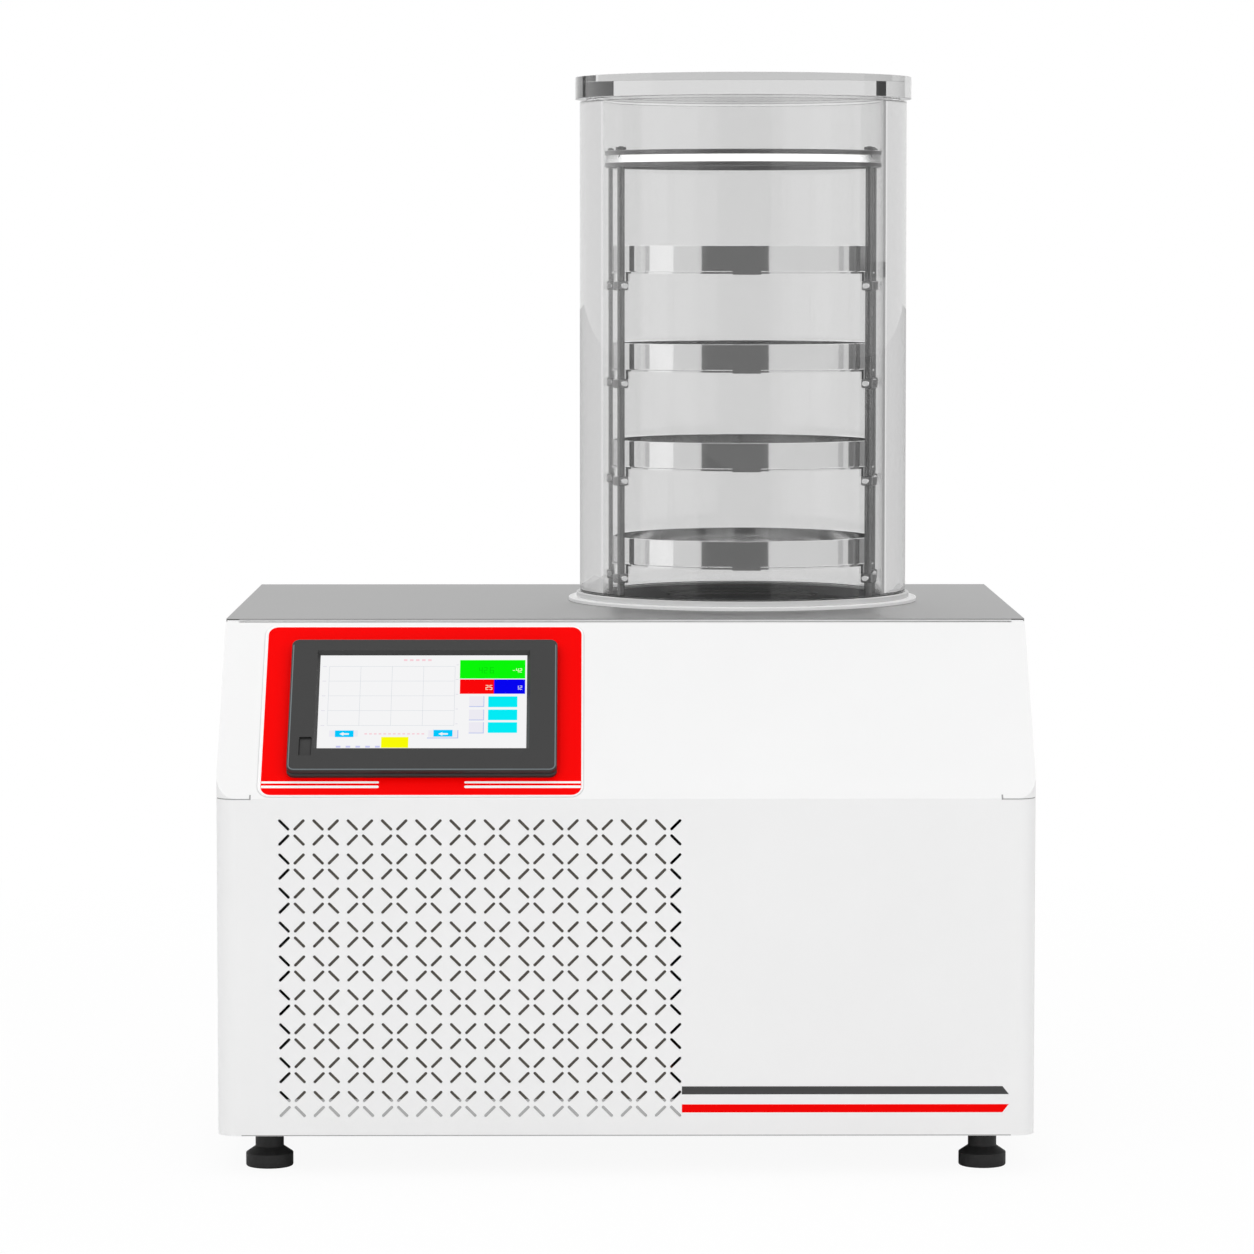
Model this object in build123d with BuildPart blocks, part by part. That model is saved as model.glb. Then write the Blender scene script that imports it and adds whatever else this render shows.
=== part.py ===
from build123d import *
import os
from math import atan2, cos, hypot, radians, sin

os.makedirs("parts", exist_ok=True)

# ---------------------------------------------------------------- driving dimensions (mm)
# Casing. X runs to the right, the front faces -Y, the feet stand on Z = 0.
CASE_WIDTH = 600.0
CASE_DEPTH = 520.0
FOOT_HEIGHT = 28.5
DECK_Z = 400.0
FOLD_Z = 277.0
SLOPE_DEPTH = 119.0
CORNER_R = 15.0
SHEET = 1.5
DECK_SHEET = 2.0
SEAM = 0.5
LOWER_RETURN = 30.0
CHEEK_DEPTH = 130.0
TOP_FLANGE = 12.0
RELIEF_X = 274.6
RELIEF_WIDTH = 1.2
RELIEF_HEIGHT = 4.0
CORNER_SLIT = 0.8
TOP_SLIT_HALF = 290.0
DECK_CHAMFER = 3.0
REAR_REACH = 32.0

# Vent field in the front: X marks of four slots each
VENT_PITCH = 25.0
VENT_COLUMNS = 12
VENT_ROWS = 9
VENT_INSET_X = 193.1
VENT_CENTRE_Z = 152.3
VENT_ARM_INNER = 2.4
VENT_ARM_LENGTH = 10.9
VENT_SLOT_WIDTH = 2.15

# Rear air outlet
OUTLET_INSET_X = 135.0
OUTLET_CENTRE_Z = 262.0
OUTLET_SLOT_LENGTH = 84.0
OUTLET_SLOT_WIDTH = 5.0
OUTLET_PITCH_X = 98.0
OUTLET_PITCH_Z = 14.0
OUTLET_COLUMNS = 2
OUTLET_ROWS = 11

# Base and inner frame
PAN_SHEET = 2.0
PAN_FLANGE = 25.0
ANGLE_SIZE = 20.0
ANGLE_SHEET = 2.0
FRAME_FRONT = 132.0
RAIL_FRONT = 122.0

# Levelling feet
FOOT_INSET_X = 36.0
FOOT_INSET_Y = 40.0
FOOT_R = 17.5
FOOT_PAD_HEIGHT = 10.0
FOOT_CONE_HEIGHT = 4.8
FOOT_NECK_R = 10.5
FOOT_EDGE = 1.5
STUD_R = 5.0
STUD_REACH = 20.0
THREAD_FIT = 0.08
FOOT_GAP = 0.1
LOCK_NUT_AF = 17.0
LOCK_NUT_HEIGHT = 6.0

# Control panel on the slope: s climbs the slope from the fold, and shifts are from the overlay's middle
OVERLAY_INSET_X = 149.5
OVERLAY_S = 83.0
OVERLAY_WIDTH = 238.0
OVERLAY_LENGTH = 162.6
OVERLAY_R = 9.5
OVERLAY_SHEET = 0.8
BEZEL_SHIFT = 0.75
BEZEL_S = 82.5
BEZEL_WIDTH = 198.0
BEZEL_LENGTH = 125.0
BEZEL_HEIGHT = 7.0
BEZEL_R = 5.0
BEZEL_EDGE = 1.2
DISPLAY_SHIFT = 0.25
DISPLAY_S = 87.0
DISPLAY_WIDTH = 154.6
DISPLAY_LENGTH = 88.0
DISPLAY_RECESS = 2.0
HOUSING_WIDTH = 184.0
HOUSING_LENGTH = 111.0
HOUSING_DEPTH = 38.0
HOUSING_CLEARANCE = 1.0
HOUSING_R = 3.0
USB_SHIFT = -85.5
USB_S = 50.6
USB_WIDTH = 8.8
USB_LENGTH = 18.0
USB_R = 1.5
USB_POCKET = 2.0
USB_COVER = 1.3
USB_CLEARANCE = 0.15

# Drying chamber
CHAMBER_X = 94.0
CHAMBER_SHARE = 42 / 65
TUBE_R = 129.0
TUBE_WALL = 18.0
TUBE_LENGTH = 386.0
SEAT_R = 138.0
SEAT_HEIGHT = 3.0
SEAT_EDGE = 0.8
FLANGE_R = 131.75
FLANGE_HEIGHT = 4.0
SPIGOT_R = 114.5
SPIGOT_DEPTH = 5.0
SPIGOT_CLEARANCE = 0.3
GASKET_R = 124.0
GASKET_WIDTH = 8.0
GASKET_HEIGHT = 2.0
LEDGE_DROP = 3.6
LID_R = 132.5
LID_HEIGHT = 16.0
LID_COLLAR = 3.0
LID_EDGE = 1.0

# Cold trap
POT_R = 100.0
POT_SHEET = 1.5
POT_DEPTH = 166.0
POT_RIM_R = 113.0
POT_KNUCKLE = 12.0
JACKET_HEIGHT = 65.0
JACKET_LIFT = 8.0
JACKET_SHEET = 4.0
FOAM_REAR_GAP = 34.0
FOAM_FLOOR = 30.0
FOAM_FIT = 1.0
DRAIN_R = 7.5
DRAIN_BORE = 6.0
DRAIN_TAIL = 12.0

# Tray rack
POST_CENTRE_R = 106.7
POST_R = 2.5
POST_ANGLES = (-31.6, 1.2, 178.8, 211.6)
POST_STUD_R = 1.5
POST_STUD_FIT = 0.08
BASE_PLATE_R = 110.6
BASE_PLATE_SHEET = 2.0
BASE_PLATE_BORE = 60.0
TRAY_COUNT = 4
TRAY_FIRST_Z = 431.5
TRAY_PITCH = 76.0
TRAY_R = 102.5
TRAY_HEIGHT = 20.5
TRAY_SHEET = 1.0
TRAY_KNUCKLE = 2.0
SHELF_R = 103.9
SHELF_SHEET = 1.3
SHELF_BORE = 70.0
TAB_WIDTH = 9.0
TAB_HEIGHT = 6.0
STOP_WIDTH = 21.0
STOP_RISE = 11.0
STOP_DROP = 2.0
STOP_GAP = 0.3
CLAMP_SIZE = 7.4
CLAMP_HEIGHT = 7.0
HOOP_R = 109.2
HOOP_WIDTH = 6.0
HOOP_Z = 741.0
HOOP_HEIGHT = 13.0
HOOP_EDGE = 2.6
HOOP_NUT_AF = 5.5
HOOP_NUT_HEIGHT = 2.4
HOOP_STUD_END = 0.6

# Refrigeration set
COMPRESSOR_X = -175.0
COMPRESSOR_R = 80.0
COMPRESSOR_HEIGHT = 182.0
DOME_STEPS = ((0.0, 36.0), (14.0, 10.0), (32.0, 0.0))
SEAM_BAND = 3.0
COMPRESSOR_FOOT = (150.0, 120.0, 3.0)
GROMMET_SPACING = (120.0, 90.0)
GROMMET_R = 9.0
GROMMET_HEIGHT = 14.0
STUB_R = 7.0
STUB_HEIGHT = 14.0
STUB_SPREAD = 25.0
CORE_INSET_X = 55.1
CORE_WIDTH = 270.0
CORE_HEIGHT = 220.0
CORE_DEPTH = 40.0
CORE_Z = 45.0
CORE_INSET_Y = 40.0
CORE_PLATE = 3.0
CORE_PLATE_LIP = 4.0
FIN_COUNT = 18
FIN_GROOVE = 3.0
SHROUD_SHEET = 2.0
DUCT_R = 100.0
DUCT_WALL = 3.0
DUCT_LENGTH = 24.0
BLADE_COUNT = 5
BLADE_TIP_GAP = 2.5
BLADE_SHEET = 2.0
BLADE_CHORD = 48.0
BLADE_PITCH = 28.0
HUB_R = 28.0
HUB_LENGTH = 16.0
SHAFT_R = 4.0
SHAFT_FIT = 0.05
MOTOR_R = 34.0
MOTOR_LENGTH = 36.0
ARM_WIDTH = 10.0
ARM_SHEET = 3.0
DRIER_X = -75.0
DRIER_INSET_Y = 175.0
DRIER_R = 12.0
DRIER_Z = 120.0
DRIER_LENGTH = 100.0
DRIER_NECK = 10.0
LIQUID_R = 3.0
DISCHARGE_R = 4.0
SUCTION_R = 5.0
LIQUID_Z = 70.0
EXPANSION_Z = 260.0
SUCTION_Z = 288.0
DISCHARGE_Z = 277.0
PIPE_FIT = 0.3
LIQUID_OFFSET = 15.0
LIQUID_BEND = 12.0
DISCHARGE_BENDS = (12.0, 10.0)
SUCTION_BEND = 20.0
DRAIN_BEND = 30.0

# Electrical box
BOX_GAP_X = 38.9
BOX_INSET_X = 55.0
BOX_DEPTH = 114.0
BOX_HEIGHT = 205.0
BOX_INSET_Y = 36.0
BOX_LID = 12.0
BOX_GROOVE = 1.5

# Rear fittings
PORT_Z = 345.0
PORT_BORE = 13.0
PORT_WALL = 1.5
PORT_FLANGE_R = 20.0
PORT_FLANGE = 3.0
PORT_CONE = 3.0
PORT_PLATE_R = 24.0
PORT_PLATE = 3.0
VALVE_Z = 110.0
VALVE_NUT_AF = 26.0
VALVE_NUT = 4.0
VALVE_R = 9.0
VALVE_LENGTH = 16.0
BARB_R = 5.0
BARB_BORE = 3.0
BARB_LENGTH = 11.0
SPINDLE_R = 3.0
SPINDLE_RISE = 6.0
SPINDLE_FIT = 0.05
LEVER_LENGTH = 34.0
LEVER_WIDTH = 10.0
LEVER_SHEET = 3.0
AIR_INSET_X = 90.0
AIR_R = 8.0
AIR_LENGTH = 8.0
KNOB_R = 12.0
KNOB_LENGTH = 12.0
KNOB_SIDES = 12
KNOB_GAP = 0.1
INLET_INSET_X = 170.0
INLET_Z = 92.0
SOCKET_INSET_X = 105.0
SWITCH_INSET_X = 55.0
PLATE_SHEET = 3.0
INLET_PLATE = (54.0, 32.0)
INLET_BODY = (34.0, 25.0)
INLET_DEPTH = 26.0
INLET_RECESS = 16.0
PIN_SIZE = (2.0, 6.0)
PIN_PITCH = 7.0
SOCKET_PLATE = (44.0, 34.0)
SOCKET_BODY = (34.0, 26.0)
SWITCH_PLATE = (32.0, 26.0)
SWITCH_BODY = (27.0, 21.0)
SWITCH_WINDOW = (22.0, 16.0)
ROCKER_SETBACK = 3.0
ROCKER_DISH = 3.0
ROCKER_TILT = 10.0
ROCKER_GAP = 0.4
BODY_FIT = 0.3

# ---------------------------------------------------------------- places worked out from them
HALF_WIDTH = CASE_WIDTH / 2
Y_FRONT = -(CASE_DEPTH + REAR_REACH) / 2
Y_REAR = Y_FRONT + CASE_DEPTH
FOOT_X = HALF_WIDTH - FOOT_INSET_X
VENT_CENTRE_X = VENT_INSET_X - HALF_WIDTH
OUTLET_CENTRE_X = OUTLET_INSET_X - HALF_WIDTH
OVERLAY_X = OVERLAY_INSET_X - HALF_WIDTH
BEZEL_X = OVERLAY_X + BEZEL_SHIFT
DISPLAY_X = OVERLAY_X + DISPLAY_SHIFT
USB_X = OVERLAY_X + USB_SHIFT
AIR_X = HALF_WIDTH - AIR_INSET_X
INLET_X = INLET_INSET_X - HALF_WIDTH
SOCKET_X = SOCKET_INSET_X - HALF_WIDTH
SWITCH_X = SWITCH_INSET_X - HALF_WIDTH
DECK_UNDER = DECK_Z - DECK_SHEET
SLOPE_ANGLE = atan2(DECK_Z - FOLD_Z, SLOPE_DEPTH)
SLOPE_LENGTH = hypot(DECK_Z - FOLD_Z, SLOPE_DEPTH)
PAN_TOP = FOOT_HEIGHT + PAN_SHEET
CHAMBER_INSET_Y = CASE_DEPTH * CHAMBER_SHARE
CHAMBER_Y = Y_FRONT + CHAMBER_INSET_Y
SEAT_TOP = DECK_Z + SEAT_HEIGHT
FLANGE_TOP = SEAT_TOP + FLANGE_HEIGHT
TUBE_BORE = TUBE_R - TUBE_WALL
TUBE_TOP = FLANGE_TOP + TUBE_LENGTH
LEDGE_Z = FLANGE_TOP - LEDGE_DROP
POT_RIM_Z = SEAT_TOP - SPIGOT_DEPTH
POT_FLOOR = POT_RIM_Z - POT_DEPTH
JACKET_Z = POT_FLOOR + JACKET_LIFT
JACKET_R = POT_R + JACKET_SHEET
FOAM_BORE = POT_RIM_R - FOAM_FIT
FOAM_R = CASE_DEPTH - CHAMBER_INSET_Y - FOAM_REAR_GAP
BASE_TOP = LEDGE_Z + BASE_PLATE_SHEET
TRAY_FLOORS = [TRAY_FIRST_Z + TRAY_PITCH * n for n in range(TRAY_COUNT)]
HOOP_TOP = HOOP_Z + HOOP_HEIGHT
COMPRESSOR_Y = CHAMBER_Y
COMPRESSOR_Z = PAN_TOP + GROMMET_HEIGHT + COMPRESSOR_FOOT[2]
STUB_TOP = COMPRESSOR_Z + COMPRESSOR_HEIGHT + STUB_HEIGHT
CORE_Y = Y_FRONT + CORE_INSET_Y
CORE_TOP = CORE_Z + CORE_HEIGHT
CORE_HALF = CORE_WIDTH / 2 + CORE_PLATE
FAN_X = CORE_INSET_X + CORE_HALF - HALF_WIDTH
CORE_RIGHT = FAN_X + CORE_HALF
BOX_X = CORE_RIGHT + BOX_GAP_X
BOX_WIDTH = HALF_WIDTH - BOX_INSET_X - BOX_X
FAN_Z = CORE_Z + CORE_HEIGHT / 2
SHROUD_Y = CORE_Y + CORE_DEPTH + CORE_PLATE_LIP
DUCT_END_Y = SHROUD_Y + SHROUD_SHEET + DUCT_LENGTH
MOTOR_Y = DUCT_END_Y + ARM_SHEET
DRIER_Y = Y_FRONT + DRIER_INSET_Y

# Frames of reference. On the slope, x runs across and y climbs; on the front, x runs across and y up.
slope_plane = Plane(
    origin=(0, Y_FRONT, FOLD_Z), x_dir=(1, 0, 0), z_dir=(0, -sin(SLOPE_ANGLE), cos(SLOPE_ANGLE))
)
front_plane = Plane(origin=(0, Y_FRONT, 0), x_dir=(1, 0, 0), z_dir=(0, -1, 0))
rear_plane = Plane(origin=(0, Y_REAR, 0), x_dir=(-1, 0, 0), z_dir=(0, 1, 0))
chamber_section = Plane(origin=(CHAMBER_X, CHAMBER_Y, 0), x_dir=(1, 0, 0), z_dir=(0, -1, 0))
chamber_axis = Axis((CHAMBER_X, CHAMBER_Y, 0), (0, 0, 1))
post_places = [
    (
        CHAMBER_X + POST_CENTRE_R * cos(radians(angle)),
        CHAMBER_Y + POST_CENTRE_R * sin(radians(angle)),
    )
    for angle in POST_ANGLES
]


def across(y):
    """Plane facing the rear at depth y, with x to the left as seen from behind and z up."""
    return Plane(origin=(0, y, 0), x_dir=(-1, 0, 0), z_dir=(0, 1, 0))


def front_block(inset, over):
    """Solid front of the casing with its outer faces moved in by inset, and its open ends out by over."""
    with BuildPart() as block:
        with BuildSketch(Plane.XY.offset(FOOT_HEIGHT - over)):
            with BuildLine():
                FilletPolyline(
                    (-HALF_WIDTH + inset, Y_FRONT + CHEEK_DEPTH + over),
                    (-HALF_WIDTH + inset, Y_FRONT + inset),
                    (HALF_WIDTH - inset, Y_FRONT + inset),
                    (HALF_WIDTH - inset, Y_FRONT + CHEEK_DEPTH + over),
                    radius=CORNER_R - inset,
                )
                Line(
                    (HALF_WIDTH - inset, Y_FRONT + CHEEK_DEPTH + over),
                    (-HALF_WIDTH + inset, Y_FRONT + CHEEK_DEPTH + over),
                )
            make_face()
        extrude(amount=DECK_UNDER - FOOT_HEIGHT + 2 * over)
        with BuildSketch(slope_plane.offset(-inset)):
            with Locations((0, SLOPE_LENGTH / 2)):
                Rectangle(CASE_WIDTH + CHEEK_DEPTH, 2 * CASE_DEPTH)
        extrude(amount=CASE_DEPTH, mode=Mode.SUBTRACT)
    return block.part


def pipe(points, radii, tube_r):
    """Bent tube along straight runs joined by arcs."""
    with BuildPart() as tube:
        with BuildLine() as route:
            FilletPolyline(*points, radius=radii)
        with BuildSketch(Plane(origin=route.line @ 0, z_dir=route.line % 0)):
            Circle(tube_r)
        sweep()
    return tube.part


# ---------------------------------------------------------------- casing
# One folded sheet: vented front, rolled upright corners, sloped fascia with its cheeks. The fold between
# front and slope runs between two relief notches, and a slit carries on from each notch to the side.
casing_outside = front_block(0, 0)
casing_inside = front_block(SHEET, SHEET)
with BuildPart() as front_shell:
    add(casing_outside)
    add(casing_inside, mode=Mode.SUBTRACT)
    with BuildSketch(Plane.XY.offset(FOOT_HEIGHT)):
        with Locations((0, Y_FRONT + LOWER_RETURN)):
            Rectangle(2 * CASE_WIDTH, CASE_DEPTH, align=(Align.CENTER, Align.MIN))
    extrude(amount=FOLD_Z - FOOT_HEIGHT, mode=Mode.SUBTRACT)
    with BuildSketch(front_plane.offset(CORNER_R)):
        for side in (-1, 1):
            with Locations((side * (RELIEF_X + HALF_WIDTH) / 2, FOLD_Z - CORNER_SLIT / 2)):
                Rectangle(HALF_WIDTH - RELIEF_X, CORNER_SLIT)
    extrude(amount=-CORNER_R - LOWER_RETURN, mode=Mode.SUBTRACT)
    with BuildSketch(front_plane):
        for side in (-1, 1):
            with Locations((side * RELIEF_X, FOLD_Z)):
                Rectangle(RELIEF_WIDTH, 2 * RELIEF_HEIGHT)
    extrude(amount=-RELIEF_HEIGHT - 2 * SHEET, mode=Mode.SUBTRACT)
    with BuildSketch(front_plane):
        with Locations((0, DECK_UNDER - SEAM / 2)):
            Rectangle(2 * TOP_SLIT_HALF, SEAM)
    extrude(amount=-CHEEK_DEPTH, mode=Mode.SUBTRACT)
    with BuildSketch(slope_plane):
        with Locations((BEZEL_X, BEZEL_S)):
            RectangleRounded(
                HOUSING_WIDTH + 2 * HOUSING_CLEARANCE,
                HOUSING_LENGTH + 2 * HOUSING_CLEARANCE,
                HOUSING_R,
            )
    extrude(amount=-2 * SHEET, mode=Mode.SUBTRACT)
    # The vent field: each mark is four straight slots on the diagonals, which leave the middle closed.
    with BuildSketch(front_plane):
        with Locations((VENT_CENTRE_X, VENT_CENTRE_Z)):
            with GridLocations(VENT_PITCH, VENT_PITCH, VENT_COLUMNS, VENT_ROWS):
                with PolarLocations(VENT_ARM_INNER + VENT_ARM_LENGTH / 2, 4, start_angle=45):
                    Rectangle(VENT_ARM_LENGTH, VENT_SLOT_WIDTH)
    extrude(amount=-2 * SHEET, mode=Mode.SUBTRACT)
front_shell.part.label = "front_shell"
export_step(front_shell.part, "parts/front_shell.step")

for side, side_name in ((-1, "left"), (1, "right")):
    with BuildPart() as side_panel:
        with BuildSketch(Plane.YZ.offset(side * HALF_WIDTH)):
            with BuildLine():
                Polyline(
                    (Y_FRONT + LOWER_RETURN + SEAM, FOOT_HEIGHT),
                    (Y_REAR, FOOT_HEIGHT),
                    (Y_REAR, DECK_UNDER),
                    (Y_FRONT + CHEEK_DEPTH + SEAM, DECK_UNDER),
                    (Y_FRONT + CHEEK_DEPTH + SEAM, FOLD_Z - CORNER_SLIT),
                    (Y_FRONT + LOWER_RETURN + SEAM, FOLD_Z - CORNER_SLIT),
                    close=True,
                )
            make_face()
        extrude(amount=-side * SHEET)
        with BuildSketch(Plane.XY.offset(DECK_UNDER)):
            with Locations((side * HALF_WIDTH, Y_REAR - SHEET)):
                Rectangle(
                    TOP_FLANGE + SHEET,
                    CASE_DEPTH - CHEEK_DEPTH - SEAM - SHEET,
                    align=(Align.MAX if side > 0 else Align.MIN, Align.MAX),
                )
        extrude(amount=-SHEET)
    side_panel.part.label = f"side_panel_{side_name}"
    export_step(side_panel.part, f"parts/side_panel_{side_name}.step")

with BuildPart() as rear_panel:
    with BuildSketch(rear_plane):
        with Locations((0, (FOOT_HEIGHT + DECK_UNDER) / 2)):
            Rectangle(CASE_WIDTH - 2 * SHEET, DECK_UNDER - FOOT_HEIGHT)
        with Locations((-CHAMBER_X, PORT_Z)):
            Circle(PORT_BORE + PORT_WALL + BODY_FIT, mode=Mode.SUBTRACT)
        with Locations((-CHAMBER_X, VALVE_Z)):
            Circle(DRAIN_R + BODY_FIT, mode=Mode.SUBTRACT)
        with Locations((-AIR_X, PORT_Z)):
            Circle(AIR_R + BODY_FIT, mode=Mode.SUBTRACT)
        for place, body in ((INLET_X, INLET_BODY), (SOCKET_X, SOCKET_BODY), (SWITCH_X, SWITCH_BODY)):
            with Locations((-place, INLET_Z)):
                Rectangle(body[0] + 2 * BODY_FIT, body[1] + 2 * BODY_FIT, mode=Mode.SUBTRACT)
        with Locations((-OUTLET_CENTRE_X, OUTLET_CENTRE_Z)):
            with GridLocations(OUTLET_PITCH_X, OUTLET_PITCH_Z, OUTLET_COLUMNS, OUTLET_ROWS):
                Rectangle(OUTLET_SLOT_LENGTH, OUTLET_SLOT_WIDTH, mode=Mode.SUBTRACT)
    extrude(amount=-SHEET)
    with BuildSketch(Plane.XY.offset(DECK_UNDER)):
        with Locations((0, Y_REAR - SHEET)):
            Rectangle(
                CASE_WIDTH - 2 * (SHEET + TOP_FLANGE) - 2 * SEAM,
                TOP_FLANGE,
                align=(Align.CENTER, Align.MAX),
            )
    extrude(amount=-SHEET)
rear_panel.part.label = "rear_panel"
export_step(rear_panel.part, "parts/rear_panel.step")

foot_places = [
    (side * FOOT_X, end)
    for side in (-1, 1)
    for end in (Y_FRONT + FOOT_INSET_Y, Y_REAR - FOOT_INSET_Y)
]
pan_width = CASE_WIDTH - 2 * SHEET
pan_depth = CASE_DEPTH - 2 * SHEET
pan_y = (Y_FRONT + Y_REAR) / 2
with BuildPart() as base_pan:
    with BuildSketch(Plane.XY.offset(FOOT_HEIGHT)):
        with Locations((0, pan_y)):
            Rectangle(pan_width, pan_depth)
    extrude(amount=PAN_SHEET + PAN_FLANGE)
    fillet(base_pan.edges().filter_by(Axis.Z).group_by(Axis.Y)[0], CORNER_R - SHEET)
    offset(amount=-PAN_SHEET, openings=base_pan.faces().sort_by(Axis.Z)[-1])
    with BuildSketch(Plane.XY.offset(FOOT_HEIGHT)):
        with Locations(*foot_places):
            Circle(STUD_R + THREAD_FIT)
    extrude(amount=PAN_SHEET, mode=Mode.SUBTRACT)
base_pan.part.label = "base_pan"
export_step(base_pan.part, "parts/base_pan.step")

# Angle uprights on the pan, joined under the deck by a rail at the front, one at the rear and side straps
frame_x = HALF_WIDTH - SHEET - PAN_SHEET
frame_rear = Y_REAR - SHEET - PAN_SHEET
rail_half = HALF_WIDTH - SHEET - TOP_FLANGE - SEAM
with BuildPart() as inner_frame:
    for side in (-1, 1):
        for outer_y, way in ((Y_FRONT + FRAME_FRONT, 1), (frame_rear, -1)):
            with BuildSketch(Plane.XY.offset(PAN_TOP)):
                with BuildLine():
                    Polyline(
                        (side * frame_x, outer_y),
                        (side * (frame_x - ANGLE_SIZE), outer_y),
                        (side * (frame_x - ANGLE_SIZE), outer_y + way * ANGLE_SHEET),
                        (side * (frame_x - ANGLE_SHEET), outer_y + way * ANGLE_SHEET),
                        (side * (frame_x - ANGLE_SHEET), outer_y + way * ANGLE_SIZE),
                        (side * frame_x, outer_y + way * ANGLE_SIZE),
                        close=True,
                    )
                make_face()
            extrude(amount=DECK_UNDER - SHEET - PAN_TOP)
    for outer_y, way, top in (
        (Y_FRONT + RAIL_FRONT, 1, DECK_UNDER),
        (frame_rear - ANGLE_SHEET, -1, DECK_UNDER - SHEET),
    ):
        with BuildSketch(Plane.YZ.offset(-rail_half)):
            with BuildLine():
                Polyline(
                    (outer_y, top),
                    (outer_y, top - ANGLE_SIZE),
                    (outer_y + way * ANGLE_SHEET, top - ANGLE_SIZE),
                    (outer_y + way * ANGLE_SHEET, top - ANGLE_SHEET),
                    (outer_y + way * ANGLE_SIZE, top - ANGLE_SHEET),
                    (outer_y + way * ANGLE_SIZE, top),
                    close=True,
                )
            make_face()
        extrude(amount=2 * rail_half)
    for side in (-1, 1):
        with BuildSketch(Plane.YZ.offset(side * frame_x)):
            with Locations((Y_FRONT + FRAME_FRONT, DECK_UNDER - SHEET)):
                Rectangle(
                    frame_rear - Y_FRONT - FRAME_FRONT, ANGLE_SIZE, align=(Align.MIN, Align.MAX)
                )
        extrude(amount=-side * ANGLE_SHEET)
inner_frame.part.label = "inner_frame"
export_step(inner_frame.part, "parts/inner_frame.step")

with BuildPart() as deck_plate:
    with BuildSketch(Plane.XY.offset(DECK_UNDER)):
        with BuildLine():
            Polyline(
                (-HALF_WIDTH, Y_REAR),
                (HALF_WIDTH, Y_REAR),
                (HALF_WIDTH, Y_FRONT + SLOPE_DEPTH + DECK_CHAMFER),
                (HALF_WIDTH - DECK_CHAMFER, Y_FRONT + SLOPE_DEPTH),
                (-HALF_WIDTH + DECK_CHAMFER, Y_FRONT + SLOPE_DEPTH),
                (-HALF_WIDTH, Y_FRONT + SLOPE_DEPTH + DECK_CHAMFER),
                close=True,
            )
        make_face()
        with Locations((CHAMBER_X, CHAMBER_Y)):
            Circle(SPIGOT_R + SPIGOT_CLEARANCE, mode=Mode.SUBTRACT)
    extrude(amount=DECK_SHEET)
deck_plate.part.label = "deck_plate"
export_step(deck_plate.part, "parts/deck_plate.step")

# ---------------------------------------------------------------- levelling feet
for place, foot_name in zip(foot_places, ("front_left", "rear_left", "front_right", "rear_right")):
    cone_top = FOOT_PAD_HEIGHT + FOOT_CONE_HEIGHT
    with BuildPart() as foot:
        with BuildSketch(Plane(origin=(*place, 0), x_dir=(1, 0, 0), z_dir=(0, -1, 0))):
            with BuildLine():
                Polyline(
                    (0, 0),
                    (FOOT_R - FOOT_EDGE, 0),
                    (FOOT_R, FOOT_EDGE),
                    (FOOT_R, FOOT_PAD_HEIGHT),
                    (FOOT_NECK_R, cone_top),
                    (FOOT_NECK_R, FOOT_HEIGHT - FOOT_GAP),
                    (STUD_R, FOOT_HEIGHT - FOOT_GAP),
                    (STUD_R, FOOT_HEIGHT + STUD_REACH),
                    (0, FOOT_HEIGHT + STUD_REACH),
                    close=True,
                )
            make_face()
        revolve(axis=Axis((*place, 0), (0, 0, 1)))
    foot.part.label = f"foot_{foot_name}"
    export_step(foot.part, f"parts/foot_{foot_name}.step")

with BuildPart() as foot_lock_nuts:
    with BuildSketch(Plane.XY.offset(PAN_TOP)):
        with Locations(*foot_places):
            RegularPolygon(LOCK_NUT_AF / 2, 6, major_radius=False)
            Circle(STUD_R + THREAD_FIT, mode=Mode.SUBTRACT)
    extrude(amount=LOCK_NUT_HEIGHT)
foot_lock_nuts.part.label = "foot_lock_nuts"
export_step(foot_lock_nuts.part, "parts/foot_lock_nuts.step")

# ---------------------------------------------------------------- control panel
with BuildPart() as control_overlay:
    with BuildSketch(slope_plane):
        with Locations((OVERLAY_X, OVERLAY_S)):
            RectangleRounded(OVERLAY_WIDTH, OVERLAY_LENGTH, OVERLAY_R)
        with Locations((BEZEL_X, BEZEL_S)):
            RectangleRounded(
                HOUSING_WIDTH + 2 * HOUSING_CLEARANCE,
                HOUSING_LENGTH + 2 * HOUSING_CLEARANCE,
                HOUSING_R,
                mode=Mode.SUBTRACT,
            )
    extrude(amount=OVERLAY_SHEET)
control_overlay.part.label = "control_overlay"
export_step(control_overlay.part, "parts/control_overlay.step")

with BuildPart() as hmi_bezel:
    with BuildSketch(slope_plane.offset(OVERLAY_SHEET)):
        with Locations((BEZEL_X, BEZEL_S)):
            RectangleRounded(BEZEL_WIDTH, BEZEL_LENGTH, BEZEL_R)
    extrude(amount=BEZEL_HEIGHT)
    rim = hmi_bezel.edges().group_by(Axis(slope_plane.origin, slope_plane.z_dir))[-1]
    chamfer(rim, BEZEL_EDGE)
    with BuildSketch(slope_plane.offset(OVERLAY_SHEET)):
        with Locations((DISPLAY_X, DISPLAY_S)):
            Rectangle(DISPLAY_WIDTH, DISPLAY_LENGTH)
    extrude(amount=BEZEL_HEIGHT, mode=Mode.SUBTRACT)
    with BuildSketch(slope_plane.offset(OVERLAY_SHEET + BEZEL_HEIGHT)):
        with Locations((USB_X, USB_S)):
            RectangleRounded(USB_WIDTH, USB_LENGTH, USB_R)
    extrude(amount=-USB_POCKET, mode=Mode.SUBTRACT)
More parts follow.
